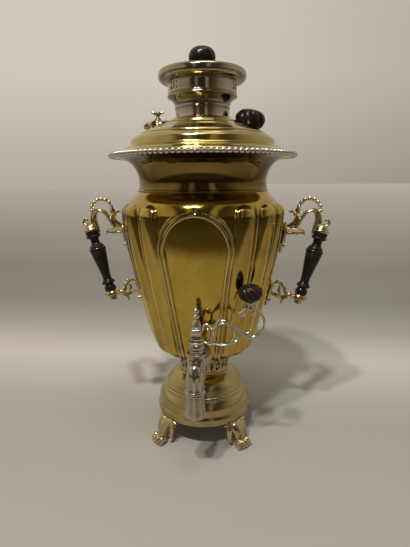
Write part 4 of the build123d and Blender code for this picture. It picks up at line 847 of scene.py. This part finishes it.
ring_turn = np.linspace(0, 2 * math.pi, 72, endpoint=False)[:, None]
tube_turn = np.linspace(0, 2 * math.pi, 16, endpoint=False)[None]
ring_reach, ring_height, ring_size, ring_wide, ring_deep = 31.0, 170.5, 12.9, 1.4, 2.3
ring_radius = ring_size + ring_wide * np.cos(tube_turn)
ring = grid(np.stack([ring_reach + ring_radius * np.cos(ring_turn),
                      ring_deep * np.sin(tube_turn) + 0 * ring_turn,
                      ring_height + ring_radius * np.sin(ring_turn)], -1), loop=True)
key_parts = [
    carved(hub, hub_swell), ring,
    scrolled((5.0, 170.5, 1.4, 2.2), (7.2, 176.5, 2.2, 2.6), (9.0, 180.6, 1.7, 2.6),
             (12.4, 182.2, 1.6, 2.6), (15.2, 180.2, 1.6, 2.5), (14.8, 177.2, 1.4, 2.3),
             (12.4, 176.6, 1.3, 2.1), (11.6, 178.4, 1.4, 1.9)),
    scrolled((15.0, 180.0, 1.2, 2.0), (17.4, 176.0, 1.5, 2.4), (18.2, 170.5, 2.1, 2.5),
             (17.2, 164.5, 1.7, 2.5), (13.4, 159.6, 1.9, 2.5), (8.6, 160.2, 1.8, 2.4),
             (5.6, 164.0, 1.4, 2.0), ridges=4, depth=0.08),
    scrolled((11.0, 158.6, 0.8, 1.6), (15.5, 157.3, 1.9, 2.3), (22.0, 158.4, 1.5, 2.2),
             (30.0, 157.0, 2.0, 2.4), (38.0, 158.2, 1.7, 2.2), (44.6, 161.4, 1.9, 1.8),
             (49.4, 164.2, 0.3, 0.5), ridges=4, depth=0.1),
    scrolled((40.5, 163.2, 1.3, 2.1), (44.6, 164.6, 1.8, 2.0), (47.0, 168.4, 1.4, 1.4),
             (46.2, 171.0, 0.3, 0.4)),
    scrolled((21.0, 179.2, 1.0, 2.0), (24.2, 183.6, 2.2, 2.2), (27.4, 187.2, 1.9, 1.7),
             (29.6, 193.0, 0.3, 0.4), ridges=4, depth=0.1),
    scrolled((24.0, 183.8, 0.8, 1.6), (29.5, 186.6, 1.7, 2.3), (35.5, 185.2, 2.0, 2.5),
             (41.0, 181.0, 1.6, 2.3), (46.8, 177.2, 1.5, 2.2), (53.0, 172.4, 1.9, 2.4),
             (58.2, 169.0, 2.5, 2.7), (64.6, 167.6, 2.3, 2.6), (71.0, 170.2, 1.9, 2.5),
             (76.0, 176.4, 1.6, 2.3), (78.0, 184.4, 1.5, 2.2), (76.0, 193.0, 1.5, 2.2),
             (70.6, 199.8, 1.6, 2.3), (64.0, 202.8, 1.8, 2.4), sides=16, steps=7),
    scrolled((51.0, 175.6, 0.6, 1.2), (55.6, 172.6, 1.6, 2.0), (60.4, 173.4, 1.3, 1.6),
             (62.8, 176.8, 0.3, 0.4)),
    scrolled((65.5, 202.6, 1.4, 2.4), (60.6, 203.2, 1.9, 2.4), (55.8, 201.6, 1.9, 2.3),
             (51.6, 197.8, 1.7, 1.8), (46.6, 194.6, 0.3, 0.5), ridges=4, depth=0.1),
    scrolled((53.0, 198.8, 1.2, 2.0), (54.2, 195.0, 1.7, 1.6), (52.6, 191.4, 0.3, 0.4)),
    scrolled((67.5, 201.2, 1.2, 2.0), (66.0, 196.8, 1.7, 1.6), (62.4, 194.0, 0.3, 0.4))]
post = outline([(0, 200.8), (4.2, 201.4)], [(4.4, 202.6), (3.2, 204.2), (2.7, 206.0), (3.4, 207.4)],
               [(4.9, 208.0), (5.2, 209.2), (4.6, 210.3)], [(0, 210.4)])
key_parts.append(moved(lathe(post, 40, loop=False), at(post_reach)))
make_piece("openwork_key", [moved(part, at_plug) for part in key_parts], key_nickel,
           "tap_key", ["tap_key"])
finial = outline([(0, hub_head), (6.4, hub_head)], [(6.6, 177.4), (6.3, 178.4), (5.8, 178.9)],
                 [(6.2, 180.2), (5.6, 182.6), (4.2, 185.4), (2.9, 187.4), (2.4, 188.4)],
                 [(3.4, 189.0), (4.1, 190.6), (4.1, 192.0), (3.3, 193.6), (2.2, 194.3)],
                 [(3.0, 194.9), (3.6, 196.4), (3.5, 198.4), (2.4, 200.3), (1.0, 201.3), (0, 201.5)])
make_piece("beaded_finial", [moved(lathe(finial, 56, loop=False), at_plug)], key_nickel,
           "tap_key", ["key_finial"])
tap_knob = moved(ribbed_knob(13.8, 19.5, 210.5, 11, 1.5, 0.12), at(post_reach, -plug_reach))
make_piece("tap_knob_carved", [tap_knob], black_wood, "tap_key", ["tap_knob"])

# ---- Handles, drawn on the right: a cast brass bracket above and another below, each riveted to
# the vessel by its leaf-shaped plate, and a turned black wooden grip on an iron rod between them.
grip_reach, grip_foot, grip_lean = 125.7, 183.0, 15
grip_place = at(grip_reach, 0, grip_foot, tilt=grip_lean)
bracket_brass = metal("bracket_brass", (0.62, 0.50, 0.27), (0.30, 0.21, 0.085), (0.92, 0.82, 0.56),
                      spread=55, amount=0.65, polish=0.14, dull=0.40, grime_and_shade=1.6, wear_and_highlight=1.0, dents=0.3)


def arch_of_beads(middle, radius, first, last, count, size):
    """Beads along an arc in the upright plane, on a bar of half their thickness."""
    turn = np.radians(np.linspace(first, last, count))
    spots = np.stack([middle[0] + radius * np.cos(turn), 0 * turn, middle[1] + radius * np.sin(turn)], -1)
    bar = limb([(*spot, 0.55 * size, 0.8 * size) for spot in spots], (0, 1, 0), 10, 4)
    return [*[ball(spot, (size, size, size), 14, 9) for spot in spots], bar]


grip_line = outline(
    [(0, 12.5), (6.6, 12.5)], [(7.8, 14.0), (8.0, 16.4), (7.2, 19.2), (5.8, 21.6)],
    [(6.1, 22.6), (8.3, 23.5), (8.9, 24.9), (8.5, 26.4), (6.9, 28.2), (5.9, 29.8)],
    [(5.5, 31.6)], [(6.0, 32.1), (6.0, 33.0), (5.6, 33.4)],
    [(6.4, 40.0), (7.8, 50.0), (9.3, 60.0), (10.2, 66.0)], [(9.8, 66.5), (10.3, 67.0)],
    [(10.7, 69.4)], [(10.3, 69.9), (10.8, 70.4)],
    [(11.2, 71.8), (11.2, 73.2), (10.4, 74.6), (9.4, 75.2)], [(9.6, 76.4), (8.8, 78.0), (7.0, 79.6)],
    [(5.9, 81.4), (5.6, 83.6), (5.8, 86.0), (6.8, 88.0)],
    [(9.0, 88.8), (9.8, 90.0), (9.6, 91.4), (8.4, 92.4)],
    [(8.9, 93.4), (9.3, 95.2), (8.9, 97.2), (8.4, 98.0)], [(0, 98.0)])
cap_line = outline(
    [(2.6, 98.0), (9.6, 98.0)], [(10.4, 98.6), (10.5, 100.0), (9.9, 101.2), (9.0, 101.8)],
    [(8.4, 103.2), (7.2, 105.4), (5.0, 107.4), (2.4, 108.3), (0, 108.5)])
upper = [
    moved(lathe(cap_line, 64, loop=False), grip_place),
    limb([(106.9, 0, 290.5, 0.8, 1.6), (105.9, 0, 285.0, 7.6, 3.4), (104.3, 0, 275.0, 9.0, 3.7),
          (102.7, 0, 265.0, 8.6, 3.5), (101.1, 0, 255.5, 6.2, 3.0), (100.3, 0, 250.5, 0.6, 1.4)],
         (1, 0, 0), 22, 6),
    scrolled((101.0, 281.2, 4.6, 5.4), (108.0, 281.4, 4.4, 4.8), (115.0, 280.6, 3.9, 4.2),
             (122.0, 279.8, 3.5, 3.8), (127.6, 279.2, 2.4, 2.8), (131.8, 277.0, 0.4, 0.5), ridges=5,
             depth=0.05),
    scrolled((103.5, 277.8, 1.6, 3.6), (110.0, 276.4, 2.4, 3.6), (116.0, 276.8, 2.3, 3.2),
             (120.0, 275.6, 1.6, 2.2), (122.6, 273.2, 0.3, 0.5)),
    scrolled((113.5, 278.2, 1.2, 3.2), (120.0, 276.8, 2.2, 3.2), (126.0, 277.0, 2.0, 2.8),
             (129.6, 275.4, 1.4, 1.8), (131.2, 273.2, 0.3, 0.4)),
    scrolled((103.0, 284.0, 1.6, 3.2), (110.5, 285.6, 2.4, 3.6), (117.0, 289.6, 2.7, 3.6),
             (120.4, 295.6, 2.6, 3.6), (119.4, 300.8, 2.5, 3.4), (115.0, 303.6, 1.9, 2.5),
             (109.6, 303.2, 0.3, 0.5), ridges=4, depth=0.08),
    scrolled((117.2, 297.4, 1.6, 2.8), (119.6, 302.0, 2.8, 3.5), (121.0, 306.0, 2.6, 3.2),
             (122.0, 310.0, 1.2, 2.0), ridges=5, depth=0.1),
    scrolled((116.4, 280.5, 1.4, 3.0), (121.0, 287.2, 2.4, 3.3), (126.2, 296.0, 2.5, 3.3),
             (132.2, 303.2, 2.3, 3.2), (138.8, 306.0, 2.5, 3.4), (144.4, 303.4, 3.3, 3.9),
             (147.2, 296.5, 4.2, 4.5), (146.4, 288.0, 4.6, 4.7), (143.0, 281.0, 3.3, 3.4),
             (139.4, 275.0, 0.4, 0.6), sides=28, steps=6, ridges=7, depth=0.09),
    scrolled((147.0, 288.5, 1.6, 4.4), (151.4, 286.2, 2.6, 4.6), (156.4, 285.6, 2.7, 4.4),
             (160.2, 288.0, 2.2, 4.1), (160.8, 291.6, 1.8, 3.8), (158.2, 294.0, 1.7, 3.5),
             (155.8, 292.4, 1.5, 3.1), (156.6, 290.2, 1.0, 2.6)),
    *arch_of_beads((135.6, 306.4), 13.7, -6, 188, 9, 3.1)]
eye_line = outline([(2.7, 6.0), (8.6, 6.0)],
                   [(9.6, 6.6), (9.8, 8.0), (9.4, 10.0), (8.6, 11.6), (7.8, 12.5)],
                   [(2.7, 12.5)], [(2.7, 6.0)])
tendril_beads = ((110.4, 199.2), (108.2, 205.4), (104.4, 210.6), (99.0, 213.0))
lower = [
    moved(lathe(eye_line, 64), grip_place),
    limb([(83.0, 0, 179.0, 0.6, 1.4), (84.6, 0, 184.0, 6.4, 3.0), (86.4, 0, 192.0, 8.0, 3.6),
          (88.8, 0, 202.0, 7.8, 3.6), (90.6, 0, 210.0, 5.8, 3.0), (91.4, 0, 214.0, 0.6, 1.4)],
         (1, 0, 0), 22, 6),
    scrolled((121.0, 191.8, 3.2, 3.6), (117.4, 191.6, 2.3, 2.8), (113.6, 193.4, 2.6, 3.2)),
    ball((114.2, 0, 193.2), (4.6, 4.5, 4.6), 20, 13),
    scrolled((112.4, 192.4, 2.2, 3.2), (109.6, 197.4, 2.6, 3.5), (107.4, 203.2, 2.3, 3.4),
             (104.0, 208.4, 2.3, 3.4), (99.2, 211.2, 2.1, 3.2), (94.8, 209.4, 1.8, 3.0),
             (93.6, 205.8, 1.5, 2.6), (96.4, 204.4, 1.1, 2.2), ridges=4, depth=0.08),
    scrolled((112.0, 192.0, 2.0, 3.2), (108.4, 188.6, 3.1, 3.5), (105.6, 184.6, 2.4, 2.6),
             (104.0, 180.6, 0.4, 0.5), ridges=4, depth=0.1),
    scrolled((111.0, 191.6, 2.4, 3.4), (104.6, 190.8, 2.8, 3.8), (98.0, 193.0, 2.7, 3.8),
             (91.0, 196.6, 3.2, 4.4), (84.0, 200.0, 3.0, 4.0), ridges=5, depth=0.06),
    scrolled((103.0, 192.6, 1.6, 3.0), (100.6, 198.0, 2.3, 3.0), (101.4, 203.6, 1.7, 2.2),
             (99.6, 206.8, 0.4, 0.5)),
    *[ball((x, 0, z), (2.3, 3.3, 2.3), 14, 9) for x, z in tendril_beads]]
for side, hand in (("right", 1), ("left", -1)):
    mirror = np.diag([hand, 1.0, 1.0, 1.0])
    make_piece(side + "_upper_bracket", [moved(part, mirror) for part in upper], bracket_brass,
               "vessel", [side + "_top_bracket"])
    make_piece(side + "_lower_bracket", [moved(part, mirror) for part in lower], bracket_brass,
               "vessel", [side + "_low_bracket"])
    make_piece(side + "_turned_grip", [moved(lathe(grip_line, 72, loop=False), mirror @ grip_place)],
               black_wood, "vessel", [side + "_grip"], crease=24)
    dress(bracket_brass, side + "_grip_nut", side + "_rivets")
    dress(plain_steel, side + "_grip_rod")

# ---- Stage: a pale floor round the samovar with light and shade painted into it: bands of painted light and shade that go back into the tone of the room, painted dark in front, and a faint painted glow far behind.
nearest_ring, furthest_ring, floor_sides = 0.05, 30.0, 96
reach = np.concatenate([[0.0], np.geomspace(nearest_ring, furthest_ring, 40)])[:, None]
turn = np.arange(floor_sides) * 2 * math.pi / floor_sides
disc = grid(np.stack([reach * np.sin(turn), -reach * np.cos(turn), 0 * reach * turn], -1))
floor_mesh = bpy.data.meshes.new("floor")
floor_mesh.from_pydata(disc[0].tolist(), [], [tuple(q) for q in disc[1][:, ::-1].tolist()])
floor = bpy.data.objects.new("floor", floor_mesh)
bpy.context.scene.collection.objects.link(floor)


def ramp(add, factor, stops, tint):
    """The colour at a factor between 0 and 1, from stops of (place, brightness) times one tint."""
    node = add("ShaderNodeValToRGB", {"Fac": factor})
    elements = node.color_ramp.elements
    for place, value in stops:
        end = {0.0: 0, 1.0: -1}.get(place)
        stop = elements.new(place) if end is None else elements[end]
        stop.position, stop.color = place, (*(value * c for c in tint), 1)
    return node.outputs["Color"]


paper = bpy.data.materials.new("pale_paper")
paper.use_nodes = True
tree = paper.node_tree
tree.nodes.clear()
add = node_maker(tree)
place = add("ShaderNodeTexCoord").outputs["Object"]
back = add("ShaderNodeSeparateXYZ", {0: place}).outputs["Y"]
beyond = calc(add, "MAXIMUM", back, 0.0)
share = calc(add, "DIVIDE", beyond, calc(add, "ADD", beyond, 1.0))
# Painted light and shade: the floor's brightness rises, falls and rises again with the distance behind the
# samovar, standing for a lit backdrop that curves up into a wall.
light_and_shade_bands = ((0.0, 0.38), (0.057, 0.42), (0.13, 0.53), (0.18, 0.61), (0.215, 0.57), (0.272, 0.44),
         (0.383, 0.31), (0.51, 0.37), (0.65, 0.49), (0.80, 0.80), (0.93, 0.98), (1.0, 0.98))
# Painted shade: from half a metre in front, the floor turns near black, standing for the unlit room in
# front that the metal reflects.
shade = blend(add, span(add, back, -0.50, -0.64), ramp(add, share, light_and_shade_bands, (1, 0.92, 0.79)),
              (0.05, 0.04, 0.03, 1))
mottle = add("ShaderNodeTexNoise", {"Vector": place, "Scale": 6.0, "Detail": 5.0})
soft = add("ShaderNodeMix", {"Factor": 0.05, 6: shade, 7: mottle.outputs["Color"]}, data_type="RGBA",
           blend_type="SOFT_LIGHT")
glows = ((0.0, 0.0), (0.52, 0.0), (0.62, 0.05), (0.75, 0.08), (0.90, 0.125), (1.0, 0.19))
glow = ramp(add, share, glows, (1, 0.92, 0.80))
surface = add("ShaderNodeBsdfPrincipled", {"Base Color": soft.outputs[2], "Roughness": 0.75,
                                           "Emission Color": glow, "Emission Strength": 1.0})
add("ShaderNodeOutputMaterial", {"Surface": surface.outputs[0]})
floor_mesh.materials.append(paper)

# ---- Room and lamps: a pale room, darker on the viewer's side, seen by the eye and by the polished
# metal; an even tone for soft light; two small lamps from the upper left, one cool and one warm, whose
# shadows lie side by side; and a weaker broad lamp overhead.
world = bpy.data.worlds.new("room")
bpy.context.scene.world = world
world.use_nodes = True
tree = world.node_tree
tree.nodes.clear()
add = node_maker(tree)
way = add("ShaderNodeSeparateXYZ", {0: add("ShaderNodeTexCoord").outputs["Generated"]})
wall = blend(add, span(add, way.outputs["Z"], 0.0, 0.22), (0.45, 0.405, 0.35, 1), (0.63, 0.575, 0.495, 1))
falloff = span(add, way.outputs["X"], -0.15, 0.35, 1.0, 0.76)
back = add("ShaderNodeVectorMath", {0: wall, 1: falloff}, operation="MULTIPLY")
windows = ((0.0, 0.50), (0.18, 0.42), (0.25, 0.07), (0.34, 0.05), (0.375, 0.34), (0.40, 0.34),
           (0.43, 0.045), (0.62, 0.04), (0.66, 0.40), (0.69, 0.40), (0.73, 0.05), (0.85, 0.10), (1.0, 0.40))
room = ramp(add, span(add, way.outputs["X"], -1.0, 1.0), windows, (1, 0.88, 0.70))
near = blend(add, span(add, way.outputs["Y"], 0.10, -0.35), back.outputs["Vector"], room)
ray = add("ShaderNodeLightPath")
seen = calc(add, "MAXIMUM", ray.outputs["Is Camera Ray"], ray.outputs["Is Glossy Ray"])
seen_too = calc(add, "MAXIMUM", seen, ray.outputs["Is Transmission Ray"])
air = blend(add, seen_too, (0.27, 0.263, 0.255, 1), near)
sky = add("ShaderNodeBackground", {"Color": air, "Strength": 1.0})
add("ShaderNodeOutputWorld", {"Surface": sky.outputs[0]})


def lamp(name, spot, target, size, power, colour):
    """A rectangular lamp that faces its target."""
    light = bpy.data.lights.new(name, "AREA")
    light.shape, light.size, light.size_y = "RECTANGLE", size[0], size[1]
    light.energy, light.color = power, colour
    holder = bpy.data.objects.new(name, light)
    holder.location = spot
    way = Vector(target) - Vector(spot)
    holder.rotation_euler = way.to_track_quat("-Z", "Y").to_euler()
    bpy.context.scene.collection.objects.link(holder)


lamp("cool", (-0.16, -1.0, 1.88), (0, 0, 0.2), (0.10, 0.10), 17.0, (0.90, 0.96, 1.0))
lamp("warm", (-0.45, -1.0, 1.88), (0, 0, 0.2), (0.10, 0.10), 17.0, (1.0, 0.93, 0.84))
lamp("ceiling", (0.25, -0.35, 2.1), (0, 0, 0.2), (0.8, 0.5), 6.0, (1.0, 0.96, 0.90))

# ---- Camera, view and sizes: the eye is half a metre in front of the vessel, a little to the right of
# it and just below its rim, and looks slightly down.
turned, down, roll = math.radians(5.6), math.radians(12.89), math.radians(0.38)
look = Vector((-math.sin(turned) * math.cos(down), math.cos(turned) * math.cos(down), -math.sin(down)))
level = Vector((math.cos(turned), math.sin(turned), 0))
upright = level.cross(look)
side = level * math.cos(roll) - upright * math.sin(roll)
upright = upright * math.cos(roll) + level * math.sin(roll)
camera = bpy.data.objects.new("camera", bpy.data.cameras.new("camera"))
camera.data.lens, camera.data.sensor_width, camera.data.shift_x = 27.05, 36.0, 0.0027
camera.matrix_world = Matrix([(*side,), (*upright,), (*-look,)]).transposed().to_4x4()
camera.location = (0.0526, -0.5364, 0.3444)
bpy.context.scene.collection.objects.link(camera)
bpy.context.scene.camera = camera
bpy.context.scene.view_settings.view_transform = "Standard"
